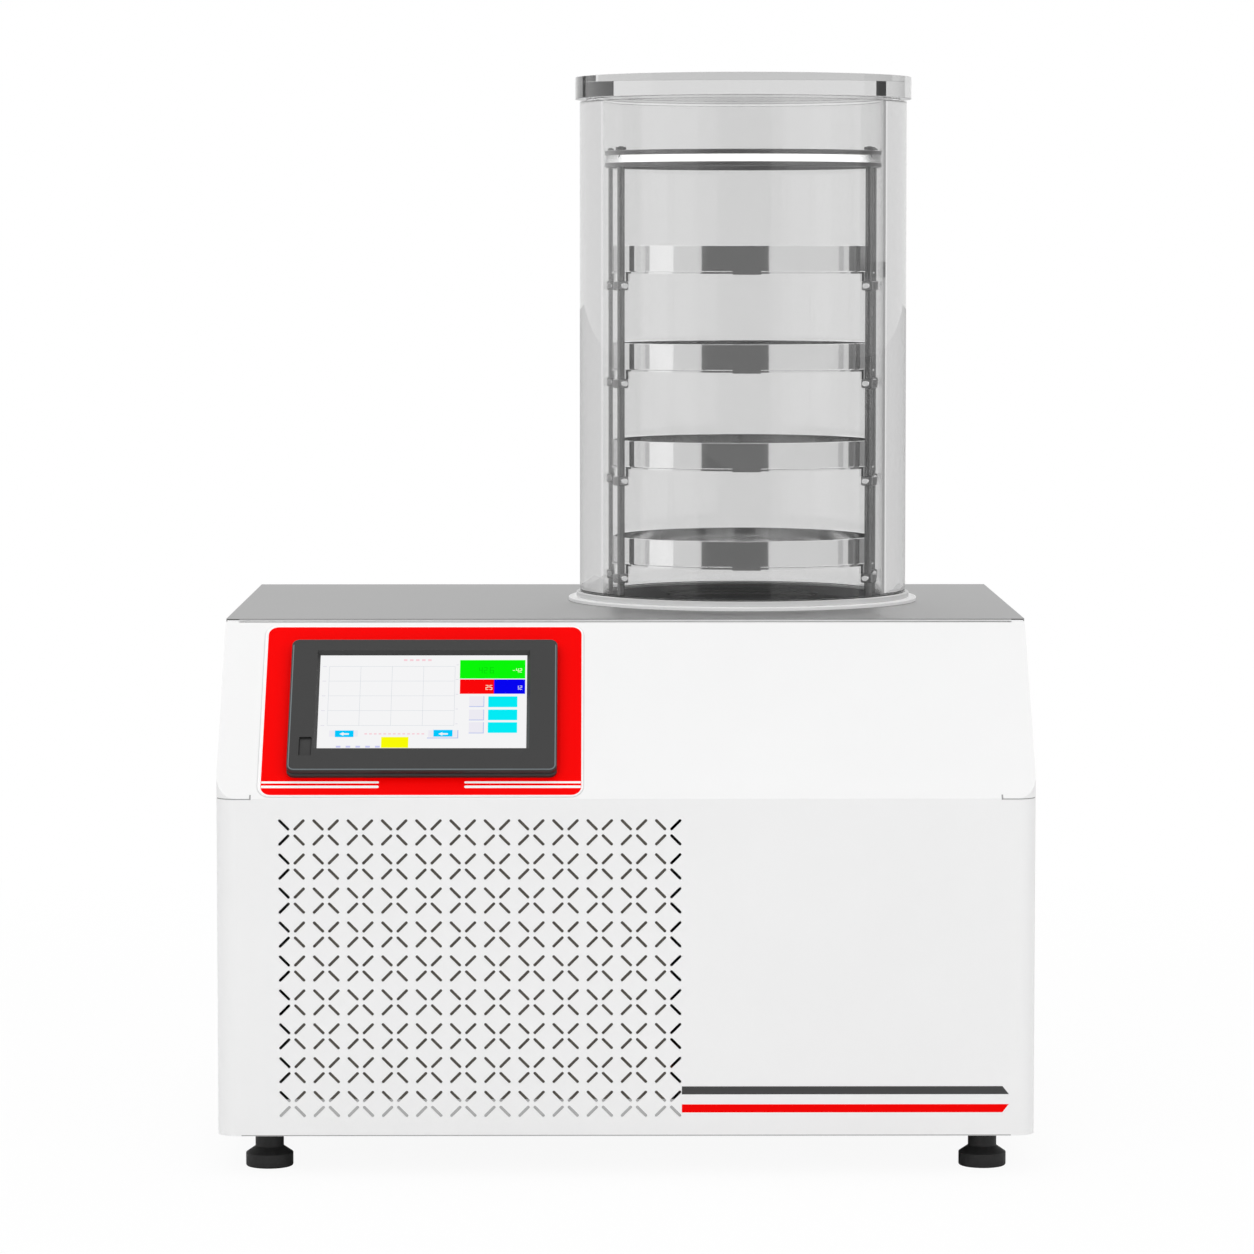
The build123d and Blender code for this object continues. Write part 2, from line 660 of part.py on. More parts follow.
hmi_bezel.part.label = "hmi_bezel"
export_step(hmi_bezel.part, "parts/hmi_bezel.step")

with BuildPart() as hmi_display:
    with BuildSketch(slope_plane.offset(OVERLAY_SHEET)):
        with Locations((DISPLAY_X, DISPLAY_S)):
            Rectangle(DISPLAY_WIDTH, DISPLAY_LENGTH)
    extrude(amount=BEZEL_HEIGHT - DISPLAY_RECESS)
hmi_display.part.label = "hmi_display"
export_step(hmi_display.part, "parts/hmi_display.step")

with BuildPart() as hmi_housing:
    with BuildSketch(slope_plane.offset(OVERLAY_SHEET)):
        with Locations((BEZEL_X, BEZEL_S)):
            RectangleRounded(HOUSING_WIDTH, HOUSING_LENGTH, HOUSING_R - HOUSING_CLEARANCE)
    extrude(amount=-HOUSING_DEPTH)
hmi_housing.part.label = "hmi_housing"
export_step(hmi_housing.part, "parts/hmi_housing.step")

with BuildPart() as hmi_usb_cover:
    with BuildSketch(slope_plane.offset(OVERLAY_SHEET + BEZEL_HEIGHT - USB_POCKET)):
        with Locations((USB_X, USB_S)):
            RectangleRounded(
                USB_WIDTH - 2 * USB_CLEARANCE,
                USB_LENGTH - 2 * USB_CLEARANCE,
                USB_R - USB_CLEARANCE,
            )
    extrude(amount=USB_COVER)
hmi_usb_cover.part.label = "hmi_usb_cover"
export_step(hmi_usb_cover.part, "parts/hmi_usb_cover.step")

# ---------------------------------------------------------------- drying chamber
with BuildPart() as chamber_seat_ring:
    with BuildSketch(chamber_section):
        with BuildLine():
            Polyline(
                (SPIGOT_R + SPIGOT_CLEARANCE, DECK_Z),
                (SEAT_R, DECK_Z),
                (SEAT_R, SEAT_TOP - SEAT_EDGE),
                (SEAT_R - SEAT_EDGE, SEAT_TOP),
                (SPIGOT_R + SPIGOT_CLEARANCE, SEAT_TOP),
                close=True,
            )
        make_face()
    revolve(axis=chamber_axis)
chamber_seat_ring.part.label = "chamber_seat_ring"
export_step(chamber_seat_ring.part, "parts/chamber_seat_ring.step")

# Stepped flange: the rim carries the tube and its seal, the spigot drops through the deck, and the
# ledge inside it carries the rack.
with BuildPart() as chamber_flange:
    with BuildSketch(chamber_section):
        with BuildLine():
            Polyline(
                (POT_R, POT_RIM_Z),
                (SPIGOT_R, POT_RIM_Z),
                (SPIGOT_R, SEAT_TOP),
                (FLANGE_R, SEAT_TOP),
                (FLANGE_R, FLANGE_TOP),
                (GASKET_R, FLANGE_TOP),
                (GASKET_R, FLANGE_TOP - GASKET_HEIGHT),
                (GASKET_R - GASKET_WIDTH, FLANGE_TOP - GASKET_HEIGHT),
                (GASKET_R - GASKET_WIDTH, FLANGE_TOP),
                (TUBE_BORE, FLANGE_TOP),
                (TUBE_BORE, LEDGE_Z),
                (POT_R, LEDGE_Z),
                close=True,
            )
        make_face()
    revolve(axis=chamber_axis)
chamber_flange.part.label = "chamber_flange"
export_step(chamber_flange.part, "parts/chamber_flange.step")

chamber_origin = (CHAMBER_X, CHAMBER_Y)
with BuildPart() as chamber_gasket:
    with BuildSketch(Plane.XY.offset(FLANGE_TOP - GASKET_HEIGHT)):
        with Locations(chamber_origin):
            Circle(GASKET_R)
            Circle(GASKET_R - GASKET_WIDTH, mode=Mode.SUBTRACT)
    extrude(amount=GASKET_HEIGHT)
chamber_gasket.part.label = "chamber_gasket"
export_step(chamber_gasket.part, "parts/chamber_gasket.step")

with BuildPart() as chamber_tube:
    with BuildSketch(Plane.XY.offset(FLANGE_TOP)):
        with Locations(chamber_origin):
            Circle(TUBE_R)
            Circle(TUBE_BORE, mode=Mode.SUBTRACT)
    extrude(amount=TUBE_LENGTH)
chamber_tube.part.label = "chamber_tube"
export_step(chamber_tube.part, "parts/chamber_tube.step")

with BuildPart() as lid_gasket:
    with BuildSketch(Plane.XY.offset(TUBE_TOP)):
        with Locations(chamber_origin):
            Circle(GASKET_R)
            Circle(GASKET_R - GASKET_WIDTH, mode=Mode.SUBTRACT)
    extrude(amount=GASKET_HEIGHT)
lid_gasket.part.label = "lid_gasket"
export_step(lid_gasket.part, "parts/lid_gasket.step")

lid_top = TUBE_TOP + LID_COLLAR + LID_HEIGHT
with BuildPart() as chamber_lid:
    with BuildSketch(chamber_section):
        with BuildLine():
            Polyline(
                (0, TUBE_TOP),
                (GASKET_R - GASKET_WIDTH, TUBE_TOP),
                (GASKET_R - GASKET_WIDTH, TUBE_TOP + GASKET_HEIGHT),
                (GASKET_R, TUBE_TOP + GASKET_HEIGHT),
                (GASKET_R, TUBE_TOP),
                (LID_R - LID_COLLAR, TUBE_TOP),
                (LID_R, TUBE_TOP + LID_COLLAR),
                (LID_R, lid_top - LID_EDGE),
                (LID_R - LID_EDGE, lid_top),
                (0, lid_top),
                close=True,
            )
        make_face()
    revolve(axis=chamber_axis)
chamber_lid.part.label = "chamber_lid"
export_step(chamber_lid.part, "parts/chamber_lid.step")

# ---------------------------------------------------------------- tray rack
with BuildPart() as rack_base:
    with BuildSketch(Plane.XY.offset(LEDGE_Z)):
        with Locations(chamber_origin):
            Circle(BASE_PLATE_R)
            Circle(BASE_PLATE_BORE, mode=Mode.SUBTRACT)
        with Locations(*post_places):
            Circle(POST_STUD_R + POST_STUD_FIT, mode=Mode.SUBTRACT)
    extrude(amount=BASE_PLATE_SHEET)
rack_base.part.label = "rack_base"
export_step(rack_base.part, "parts/rack_base.step")

# Four rods, each with a clamp block under every shelf and a threaded end at the base and the hoop
stud_end = HOOP_TOP + HOOP_NUT_HEIGHT + HOOP_STUD_END
with BuildPart() as rack_posts:
    for sketch_z, radius, end_z in (
        (LEDGE_Z, POST_STUD_R, BASE_TOP),
        (BASE_TOP, POST_R, HOOP_Z),
        (HOOP_Z, POST_STUD_R, stud_end),
    ):
        with BuildSketch(Plane.XY.offset(sketch_z)):
            with Locations(*post_places):
                Circle(radius)
        extrude(amount=end_z - sketch_z)
    for floor_z in TRAY_FLOORS:
        with BuildSketch(Plane.XY.offset(floor_z - SHELF_SHEET - TAB_HEIGHT)):
            with Locations(chamber_origin):
                for angle in POST_ANGLES:
                    with PolarLocations(POST_CENTRE_R, 1, start_angle=angle):
                        Rectangle(CLAMP_SIZE, CLAMP_SIZE)
        extrude(amount=-CLAMP_HEIGHT)
rack_posts.part.label = "rack_posts"
export_step(rack_posts.part, "parts/rack_posts.step")

for number, floor_z in enumerate(TRAY_FLOORS, 1):
    # The shelf is a ring with four tabs folded down onto the clamp blocks and a stop folded up in front.
    tab_r = SHELF_R - SHELF_SHEET / 2
    stop_y = CHAMBER_Y - TRAY_R - STOP_GAP
    with BuildPart() as tray_shelf:
        with BuildSketch(Plane.XY.offset(floor_z - SHELF_SHEET)):
            with Locations(chamber_origin):
                Circle(SHELF_R)
                Circle(SHELF_BORE, mode=Mode.SUBTRACT)
        extrude(amount=SHELF_SHEET)
        with BuildSketch(Plane.XY.offset(floor_z - SHELF_SHEET)):
            with Locations(chamber_origin):
                for angle in POST_ANGLES:
                    with PolarLocations(tab_r, 1, start_angle=angle):
                        Rectangle(SHELF_SHEET, TAB_WIDTH)
        extrude(amount=-TAB_HEIGHT)
        with BuildSketch(Plane.XY.offset(floor_z - STOP_DROP)):
            with Locations((CHAMBER_X, stop_y)):
                Rectangle(STOP_WIDTH, SHELF_SHEET, align=(Align.CENTER, Align.MAX))
        extrude(amount=STOP_DROP + STOP_RISE)
    tray_shelf.part.label = f"tray_shelf_{number}"
    export_step(tray_shelf.part, f"parts/tray_shelf_{number}.step")

    with BuildPart() as tray:
        with BuildSketch(Plane.XY.offset(floor_z)):
            with Locations(chamber_origin):
                Circle(TRAY_R)
        extrude(amount=TRAY_HEIGHT)
        chamfer(tray.edges().group_by(Axis.Z)[0], TRAY_KNUCKLE)
        offset(amount=-TRAY_SHEET, openings=tray.faces().sort_by(Axis.Z)[-1])
    tray.part.label = f"tray_{number}"
    export_step(tray.part, f"parts/tray_{number}.step")

with BuildPart() as rack_top_ring:
    with BuildSketch(Plane.XY.offset(HOOP_Z)):
        with Locations(chamber_origin):
            Circle(HOOP_R)
            Circle(HOOP_R - HOOP_WIDTH, mode=Mode.SUBTRACT)
    extrude(amount=HOOP_HEIGHT)
    outer_rims = rack_top_ring.edges().filter_by(GeomType.CIRCLE).sort_by(SortBy.RADIUS)[-2:]
    chamfer(outer_rims, HOOP_EDGE)
    with BuildSketch(Plane.XY.offset(HOOP_Z)):
        with Locations(*post_places):
            Circle(POST_STUD_R + POST_STUD_FIT)
    extrude(amount=HOOP_HEIGHT, mode=Mode.SUBTRACT)
rack_top_ring.part.label = "rack_top_ring"
export_step(rack_top_ring.part, "parts/rack_top_ring.step")

with BuildPart() as rack_nuts:
    with BuildSketch(Plane.XY.offset(HOOP_TOP)):
        with Locations(*post_places):
            RegularPolygon(HOOP_NUT_AF / 2, 6, major_radius=False)
            Circle(POST_STUD_R + POST_STUD_FIT, mode=Mode.SUBTRACT)
    extrude(amount=HOOP_NUT_HEIGHT)
rack_nuts.part.label = "rack_nuts"
export_step(rack_nuts.part, "parts/rack_nuts.step")

# ---------------------------------------------------------------- cold trap
port_axis = Plane(origin=(CHAMBER_X, CHAMBER_Y, PORT_Z), x_dir=(-1, 0, 0), z_dir=(0, 1, 0))
drain_top = POT_FLOOR - DRAIN_TAIL - FOAM_FLOOR
with BuildPart() as cold_trap_pot:
    with BuildSketch(chamber_section):
        with BuildLine():
            Polyline(
                (DRAIN_BORE, POT_FLOOR + POT_SHEET),
                (POT_R - POT_KNUCKLE, POT_FLOOR + POT_SHEET),
                (POT_R - POT_SHEET, POT_FLOOR + POT_KNUCKLE),
                (POT_R - POT_SHEET, POT_RIM_Z),
                (POT_RIM_R, POT_RIM_Z),
                (POT_RIM_R, POT_RIM_Z - POT_SHEET),
                (POT_R, POT_RIM_Z - POT_SHEET),
                (POT_R, POT_FLOOR + POT_KNUCKLE - POT_SHEET / 2),
                (POT_R - POT_KNUCKLE + POT_SHEET / 2, POT_FLOOR),
                (DRAIN_R, POT_FLOOR),
                (DRAIN_R, drain_top),
                (DRAIN_BORE, drain_top),
                close=True,
            )
        make_face()
    revolve(axis=chamber_axis)
    with BuildSketch(port_axis):
        Circle(PORT_BORE)
    extrude(amount=2 * POT_R, mode=Mode.SUBTRACT)
cold_trap_pot.part.label = "cold_trap_pot"
export_step(cold_trap_pot.part, "parts/cold_trap_pot.step")

with BuildPart() as evaporator_jacket:
    with BuildSketch(Plane.XY.offset(JACKET_Z + POT_KNUCKLE)):
        with Locations(chamber_origin):
            Circle(JACKET_R)
            Circle(POT_R, mode=Mode.SUBTRACT)
    extrude(amount=JACKET_HEIGHT)
evaporator_jacket.part.label = "evaporator_jacket"
export_step(evaporator_jacket.part, "parts/evaporator_jacket.step")

expansion_plane = Plane(origin=(CHAMBER_X, CHAMBER_Y, EXPANSION_Z), x_dir=(0, 1, 0), z_dir=(-1, 0, 0))
suction_plane = Plane(origin=(CHAMBER_X, COMPRESSOR_Y, SUCTION_Z), x_dir=(0, 1, 0), z_dir=(-1, 0, 0))
with BuildPart() as pot_insulation:
    with BuildSketch(chamber_section):
        with BuildLine():
            Polyline(
                (DRAIN_R + PIPE_FIT, POT_FLOOR - FOAM_FLOOR),
                (FOAM_R, POT_FLOOR - FOAM_FLOOR),
                (FOAM_R, POT_RIM_Z - POT_SHEET),
                (FOAM_BORE, POT_RIM_Z - POT_SHEET),
                (FOAM_BORE, POT_FLOOR),
                (DRAIN_R + PIPE_FIT, POT_FLOOR),
                close=True,
            )
        make_face()
    revolve(axis=chamber_axis)
    for axis_plane, radius in (
        (port_axis, PORT_BORE + PORT_WALL + PIPE_FIT),
        (expansion_plane, LIQUID_R + PIPE_FIT),
        (suction_plane, SUCTION_R + PIPE_FIT),
    ):
        with BuildSketch(axis_plane):
            Circle(radius)
        extrude(amount=2 * FOAM_R, mode=Mode.SUBTRACT)
pot_insulation.part.label = "pot_insulation"
export_step(pot_insulation.part, "parts/pot_insulation.step")

# ---------------------------------------------------------------- refrigeration set
compressor_top = COMPRESSOR_Z + COMPRESSOR_HEIGHT
compressor_seam = COMPRESSOR_Z + COMPRESSOR_HEIGHT / 2
compressor_origin = (COMPRESSOR_X, COMPRESSOR_Y)
with BuildPart() as compressor:
    with BuildSketch(Plane(origin=(*compressor_origin, 0), x_dir=(1, 0, 0), z_dir=(0, -1, 0))):
        with BuildLine():
            Polyline(
                (0, COMPRESSOR_Z),
                *[(COMPRESSOR_R - inward, COMPRESSOR_Z + rise) for rise, inward in DOME_STEPS],
                (COMPRESSOR_R, compressor_seam - SEAM_BAND),
                (COMPRESSOR_R + SEAM_BAND, compressor_seam - SEAM_BAND),
                (COMPRESSOR_R + SEAM_BAND, compressor_seam + SEAM_BAND),
                (COMPRESSOR_R, compressor_seam + SEAM_BAND),
                *[(COMPRESSOR_R - inward, compressor_top - drop) for drop, inward in DOME_STEPS[::-1]],
                (0, compressor_top),
                close=True,
            )
        make_face()
    revolve(axis=Axis((*compressor_origin, 0), (0, 0, 1)))
    with BuildSketch(Plane.XY.offset(compressor_top)):
        with Locations(compressor_origin):
            with GridLocations(2 * STUB_SPREAD, 0, 2, 1):
                Circle(STUB_R)
    extrude(amount=STUB_HEIGHT)
    with BuildSketch(Plane.XY.offset(COMPRESSOR_Z)):
        with Locations(compressor_origin):
            RectangleRounded(COMPRESSOR_FOOT[0], COMPRESSOR_FOOT[1], GROMMET_R)
    extrude(amount=-COMPRESSOR_FOOT[2])
compressor.part.label = "compressor"
export_step(compressor.part, "parts/compressor.step")

with BuildPart() as compressor_mounts:
    with BuildSketch(Plane.XY.offset(PAN_TOP)):
        with Locations(compressor_origin):
            with GridLocations(GROMMET_SPACING[0], GROMMET_SPACING[1], 2, 2):
                Circle(GROMMET_R)
    extrude(amount=GROMMET_HEIGHT)
compressor_mounts.part.label = "compressor_mounts"
export_step(compressor_mounts.part, "parts/compressor_mounts.step")

# Finned condenser behind the vent field, with upright grooves between its fin packs and two end plates
fin_pitch = CORE_WIDTH / FIN_COUNT
with BuildPart() as condenser_core:
    with BuildSketch(Plane.XY.offset(CORE_Z)):
        with Locations((FAN_X, CORE_Y)):
            Rectangle(CORE_WIDTH, CORE_DEPTH, align=(Align.CENTER, Align.MIN))
        with Locations((FAN_X, CORE_Y)):
            with GridLocations(fin_pitch, 0, FIN_COUNT - 1, 1):
                Rectangle(FIN_GROOVE, 2 * FIN_GROOVE, mode=Mode.SUBTRACT)
    extrude(amount=CORE_HEIGHT)
    for side in (-1, 1):
        with BuildSketch(Plane.XY.offset(PAN_TOP)):
            with Locations((FAN_X + side * (CORE_HALF - CORE_PLATE / 2), CORE_Y - CORE_PLATE_LIP)):
                Rectangle(
                    CORE_PLATE, CORE_DEPTH + 2 * CORE_PLATE_LIP, align=(Align.CENTER, Align.MIN)
                )
        extrude(amount=CORE_TOP + CORE_PLATE - PAN_TOP)
condenser_core.part.label = "condenser_core"
export_step(condenser_core.part, "parts/condenser_core.step")

with BuildPart() as fan_shroud:
    with BuildSketch(across(SHROUD_Y)):
        with Locations((-FAN_X, FAN_Z)):
            Rectangle(2 * CORE_HALF, CORE_HEIGHT)
            Circle(DUCT_R, mode=Mode.SUBTRACT)
    extrude(amount=SHROUD_SHEET)
    with BuildSketch(across(SHROUD_Y + SHROUD_SHEET)):
        with Locations((-FAN_X, FAN_Z)):
            Circle(DUCT_R + DUCT_WALL)
            Circle(DUCT_R, mode=Mode.SUBTRACT)
    extrude(amount=DUCT_LENGTH)
fan_shroud.part.label = "fan_shroud"
export_step(fan_shroud.part, "parts/fan_shroud.step")

hub_y = SHROUD_Y + (SHROUD_SHEET + DUCT_LENGTH - HUB_LENGTH) / 2
with BuildPart() as fan_motor:
    with BuildSketch(across(MOTOR_Y)):
        with Locations((-FAN_X, FAN_Z)):
            Circle(MOTOR_R)
    extrude(amount=MOTOR_LENGTH)
    with BuildSketch(across(MOTOR_Y)):
        with Locations((-FAN_X, FAN_Z)):
            with PolarLocations((DUCT_R + DUCT_WALL) / 2, 4, start_angle=45):
                Rectangle(DUCT_R + DUCT_WALL, ARM_WIDTH)
    extrude(amount=-ARM_SHEET)
    with BuildSketch(across(MOTOR_Y - ARM_SHEET)):
        with Locations((-FAN_X, FAN_Z)):
            Circle(SHAFT_R)
    extrude(amount=hub_y - MOTOR_Y + ARM_SHEET)
fan_motor.part.label = "fan_motor"
export_step(fan_motor.part, "parts/fan_motor.step")

# Pressed hub with flat pitched blades; each blade starts inside the hub's wall
blade_r = DUCT_R - BLADE_TIP_GAP
blade_depth = BLADE_CHORD * sin(radians(BLADE_PITCH))
blade_length = blade_r - HUB_R / 2
with BuildPart() as fan_rotor:
    with BuildSketch(across(hub_y)):
        with Locations((-FAN_X, FAN_Z)):
            Circle(HUB_R)
    extrude(amount=HUB_LENGTH)
    for number in range(BLADE_COUNT):
        turn = radians(360.0 * number / BLADE_COUNT)
        pitch = radians(BLADE_PITCH)
        blade_plane = Plane(
            origin=(FAN_X, hub_y + HUB_LENGTH / 2, FAN_Z),
            x_dir=(-sin(pitch) * sin(turn), cos(pitch), sin(pitch) * cos(turn)),
            z_dir=(cos(turn), 0, sin(turn)),
        )
        with BuildSketch(blade_plane.offset(HUB_R / 2)):
            Rectangle(BLADE_SHEET, BLADE_CHORD)
        extrude(amount=blade_length)
    with BuildSketch(across(hub_y)):
        with Locations((-FAN_X, FAN_Z)):
            Circle(2 * blade_r)
            Circle(blade_r, mode=Mode.SUBTRACT)
    extrude(amount=HUB_LENGTH + blade_depth, both=True, mode=Mode.SUBTRACT)
    with BuildSketch(across(hub_y)):
        with Locations((-FAN_X, FAN_Z)):
            Circle(SHAFT_R + SHAFT_FIT)
    extrude(amount=HUB_LENGTH, mode=Mode.SUBTRACT)
fan_rotor.part.label = "fan_rotor"
export_step(fan_rotor.part, "parts/fan_rotor.step")

drier_top = DRIER_Z + DRIER_LENGTH
with BuildPart() as filter_drier:
    with BuildSketch(Plane(origin=(DRIER_X, DRIER_Y, 0), x_dir=(1, 0, 0), z_dir=(0, -1, 0))):
        with BuildLine():
            Polyline(
                (0, DRIER_Z),
                (LIQUID_R, DRIER_Z),
                (DRIER_R, DRIER_Z + DRIER_NECK),
                (DRIER_R, drier_top - DRIER_NECK),
                (LIQUID_R, drier_top),
                (0, drier_top),
                close=True,
            )
        make_face()
    revolve(axis=Axis((DRIER_X, DRIER_Y, 0), (0, 0, 1)))
filter_drier.part.label = "filter_drier"
export_step(filter_drier.part, "parts/filter_drier.step")

core_mid_y = CORE_Y + CORE_DEPTH / 2
discharge_x = COMPRESSOR_X - STUB_SPREAD
suction_x = COMPRESSOR_X + STUB_SPREAD
with BuildPart() as liquid_line:
    add(
        pipe(
            [
                (CORE_RIGHT, core_mid_y, LIQUID_Z),
                (CORE_RIGHT + LIQUID_OFFSET, core_mid_y, LIQUID_Z),
                (CORE_RIGHT + LIQUID_OFFSET, DRIER_Y, LIQUID_Z),
                (DRIER_X, DRIER_Y, LIQUID_Z),
                (DRIER_X, DRIER_Y, DRIER_Z),
            ],
            [LIQUID_BEND] * 3,
            LIQUID_R,
        )
    )
liquid_line.part.label = "liquid_line"
export_step(liquid_line.part, "parts/liquid_line.step")

with BuildPart() as discharge_line:
    add(
        pipe(
            [
                (discharge_x, COMPRESSOR_Y, STUB_TOP),
                (discharge_x, COMPRESSOR_Y, DISCHARGE_Z),
                (discharge_x, core_mid_y, DISCHARGE_Z),
                (discharge_x, core_mid_y, CORE_TOP),
            ],
            DISCHARGE_BENDS,
            DISCHARGE_R,
        )
    )
discharge_line.part.label = "discharge_line"
export_step(discharge_line.part, "parts/discharge_line.step")

with BuildPart() as expansion_line:
    add(
        pipe(
            [
                (DRIER_X, DRIER_Y, drier_top),
                (DRIER_X, DRIER_Y, EXPANSION_Z),
                (DRIER_X, CHAMBER_Y, EXPANSION_Z),
                (CHAMBER_X - POT_R, CHAMBER_Y, EXPANSION_Z),
            ],
            [LIQUID_BEND] * 2,
            LIQUID_R,
        )
    )
    with BuildSketch(Plane.XY.offset(EXPANSION_Z - 2 * LIQUID_R)):
        with Locations(chamber_origin):
            Circle(JACKET_R)
    extrude(amount=4 * LIQUID_R, mode=Mode.SUBTRACT)
expansion_line.part.label = "expansion_line"
export_step(expansion_line.part, "parts/expansion_line.step")

with BuildPart() as suction_line:
    add(
        pipe(
            [
                (suction_x, COMPRESSOR_Y, STUB_TOP),
                (suction_x, COMPRESSOR_Y, SUCTION_Z),
                (CHAMBER_X - POT_R, COMPRESSOR_Y, SUCTION_Z),
            ],
            [SUCTION_BEND],
            SUCTION_R,
        )
    )
    with BuildSketch(Plane.XY.offset(SUCTION_Z - 2 * SUCTION_R)):
        with Locations(chamber_origin):
            Circle(JACKET_R)
    extrude(amount=4 * SUCTION_R, mode=Mode.SUBTRACT)
suction_line.part.label = "suction_line"
export_step(suction_line.part, "parts/suction_line.step")

drain_end_y = Y_REAR + VALVE_NUT / 2
with BuildPart() as drain_line:
    add(
        pipe(
            [
                (CHAMBER_X, CHAMBER_Y, drain_top),
                (CHAMBER_X, CHAMBER_Y, VALVE_Z),
                (CHAMBER_X, drain_end_y, VALVE_Z),
            ],
            [DRAIN_BEND],
            DRAIN_R,
        )
    )
drain_line.part.label = "drain_line"
export_step(drain_line.part, "parts/drain_line.step")

# ---------------------------------------------------------------- electrical box
with BuildPart() as control_box:
    with BuildSketch(Plane.XY.offset(PAN_TOP)):
        with Locations((BOX_X, Y_FRONT + BOX_INSET_Y)):
            Rectangle(BOX_WIDTH, BOX_DEPTH, align=(Align.MIN, Align.MIN))
    extrude(amount=BOX_HEIGHT)
    with BuildSketch(Plane.XY.offset(PAN_TOP + BOX_HEIGHT - BOX_LID)):
        with Locations((BOX_X + BOX_WIDTH / 2, Y_FRONT + BOX_INSET_Y + BOX_DEPTH / 2)):
            Rectangle(BOX_WIDTH, BOX_DEPTH)
            Rectangle(BOX_WIDTH - 2 * BOX_GROOVE, BOX_DEPTH - 2 * BOX_GROOVE, mode=Mode.SUBTRACT)
    extrude(amount=BOX_GROOVE, mode=Mode.SUBTRACT)
control_box.part.label = "control_box"
export_step(control_box.part, "parts/control_box.step")

# ---------------------------------------------------------------- rear fittings
port_length = Y_REAR + REAR_REACH - CHAMBER_Y
port_r = PORT_BORE + PORT_WALL
plate_y = Y_REAR - CHAMBER_Y
with BuildPart() as vacuum_port:
    with BuildSketch(Plane(origin=(CHAMBER_X, CHAMBER_Y, PORT_Z), x_dir=(0, 1, 0), z_dir=(1, 0, 0))):
        with BuildLine():
            Polyline(
                (POT_R - POT_SHEET, PORT_BORE),
                (port_length, PORT_BORE),
                (port_length, PORT_FLANGE_R),
                (port_length - PORT_FLANGE, PORT_FLANGE_R),
                (port_length - PORT_FLANGE - PORT_CONE, port_r),
                (plate_y + PORT_PLATE, port_r),
                (plate_y + PORT_PLATE, PORT_PLATE_R),
                (plate_y, PORT_PLATE_R),
                (plate_y, port_r),
                (POT_R - POT_SHEET, port_r),
                close=True,
            )
        make_face()
    revolve(axis=Axis((CHAMBER_X, CHAMBER_Y, PORT_Z), (0, 1, 0)))
    with BuildSketch(Plane.XY.offset(PORT_Z - PORT_PLATE_R)):
        with Locations(chamber_origin):
            Circle(POT_R)
    extrude(amount=2 * PORT_PLATE_R, mode=Mode.SUBTRACT)
vacuum_port.part.label = "vacuum_port"
export_step(vacuum_port.part, "parts/vacuum_port.step")

valve_y = Y_REAR + VALVE_NUT
spindle_y = valve_y + VALVE_LENGTH / 2
spindle_top = VALVE_Z + VALVE_R + SPINDLE_RISE
with BuildPart() as drain_valve_body:
    with BuildSketch(across(Y_REAR)):
        with Locations((-CHAMBER_X, VALVE_Z)):
            RegularPolygon(VALVE_NUT_AF / 2, 6, major_radius=False)
    extrude(amount=VALVE_NUT)
    with BuildSketch(across(valve_y)):
        with Locations((-CHAMBER_X, VALVE_Z)):
            Circle(VALVE_R)
    extrude(amount=VALVE_LENGTH)
    with BuildSketch(across(valve_y + VALVE_LENGTH)):
        with Locations((-CHAMBER_X, VALVE_Z)):
            Circle(BARB_R)
    extrude(amount=BARB_LENGTH)
    with BuildSketch(Plane.XY.offset(VALVE_Z)):
        with Locations((CHAMBER_X, spindle_y)):
            Circle(SPINDLE_R)
    extrude(amount=spindle_top - VALVE_Z)
    with BuildSketch(across(Y_REAR)):
        with Locations((-CHAMBER_X, VALVE_Z)):
            Circle(DRAIN_R)
    extrude(amount=VALVE_NUT / 2, mode=Mode.SUBTRACT)
    with BuildSketch(across(Y_REAR)):
        with Locations((-CHAMBER_X, VALVE_Z)):
            Circle(BARB_BORE)
    extrude(amount=VALVE_NUT + VALVE_LENGTH + BARB_LENGTH, mode=Mode.SUBTRACT)
drain_valve_body.part.label = "drain_valve_body"
export_step(drain_valve_body.part, "parts/drain_valve_body.step")

lever_z = VALVE_Z + VALVE_R + SPINDLE_RISE - LEVER_SHEET
with BuildPart() as drain_valve_lever:
    with BuildSketch(Plane.XY.offset(lever_z)):
        with Locations((CHAMBER_X + (LEVER_LENGTH - LEVER_WIDTH) / 2, spindle_y)):
            SlotOverall(LEVER_LENGTH, LEVER_WIDTH)
        with Locations((CHAMBER_X, spindle_y)):
            Circle(SPINDLE_R + SPINDLE_FIT, mode=Mode.SUBTRACT)
    extrude(amount=LEVER_SHEET)
drain_valve_lever.part.label = "drain_valve_lever"
export_step(drain_valve_lever.part, "parts/drain_valve_lever.step")

air_y = Y_REAR + VALVE_NUT + AIR_LENGTH
with BuildPart() as air_valve_body:
    with BuildSketch(across(Y_REAR)):
        with Locations((-AIR_X, PORT_Z)):
            RegularPolygon(VALVE_NUT_AF / 2, 6, major_radius=False)
    extrude(amount=VALVE_NUT)
    with BuildSketch(across(Y_REAR - 2 * AIR_LENGTH)):
        with Locations((-AIR_X, PORT_Z)):
            Circle(AIR_R)
    extrude(amount=air_y - Y_REAR + 2 * AIR_LENGTH)
    with BuildSketch(across(air_y)):
        with Locations((-AIR_X, PORT_Z)):
            Circle(SPINDLE_R)
    extrude(amount=KNOB_LENGTH)
air_valve_body.part.label = "air_valve_body"
export_step(air_valve_body.part, "parts/air_valve_body.step")

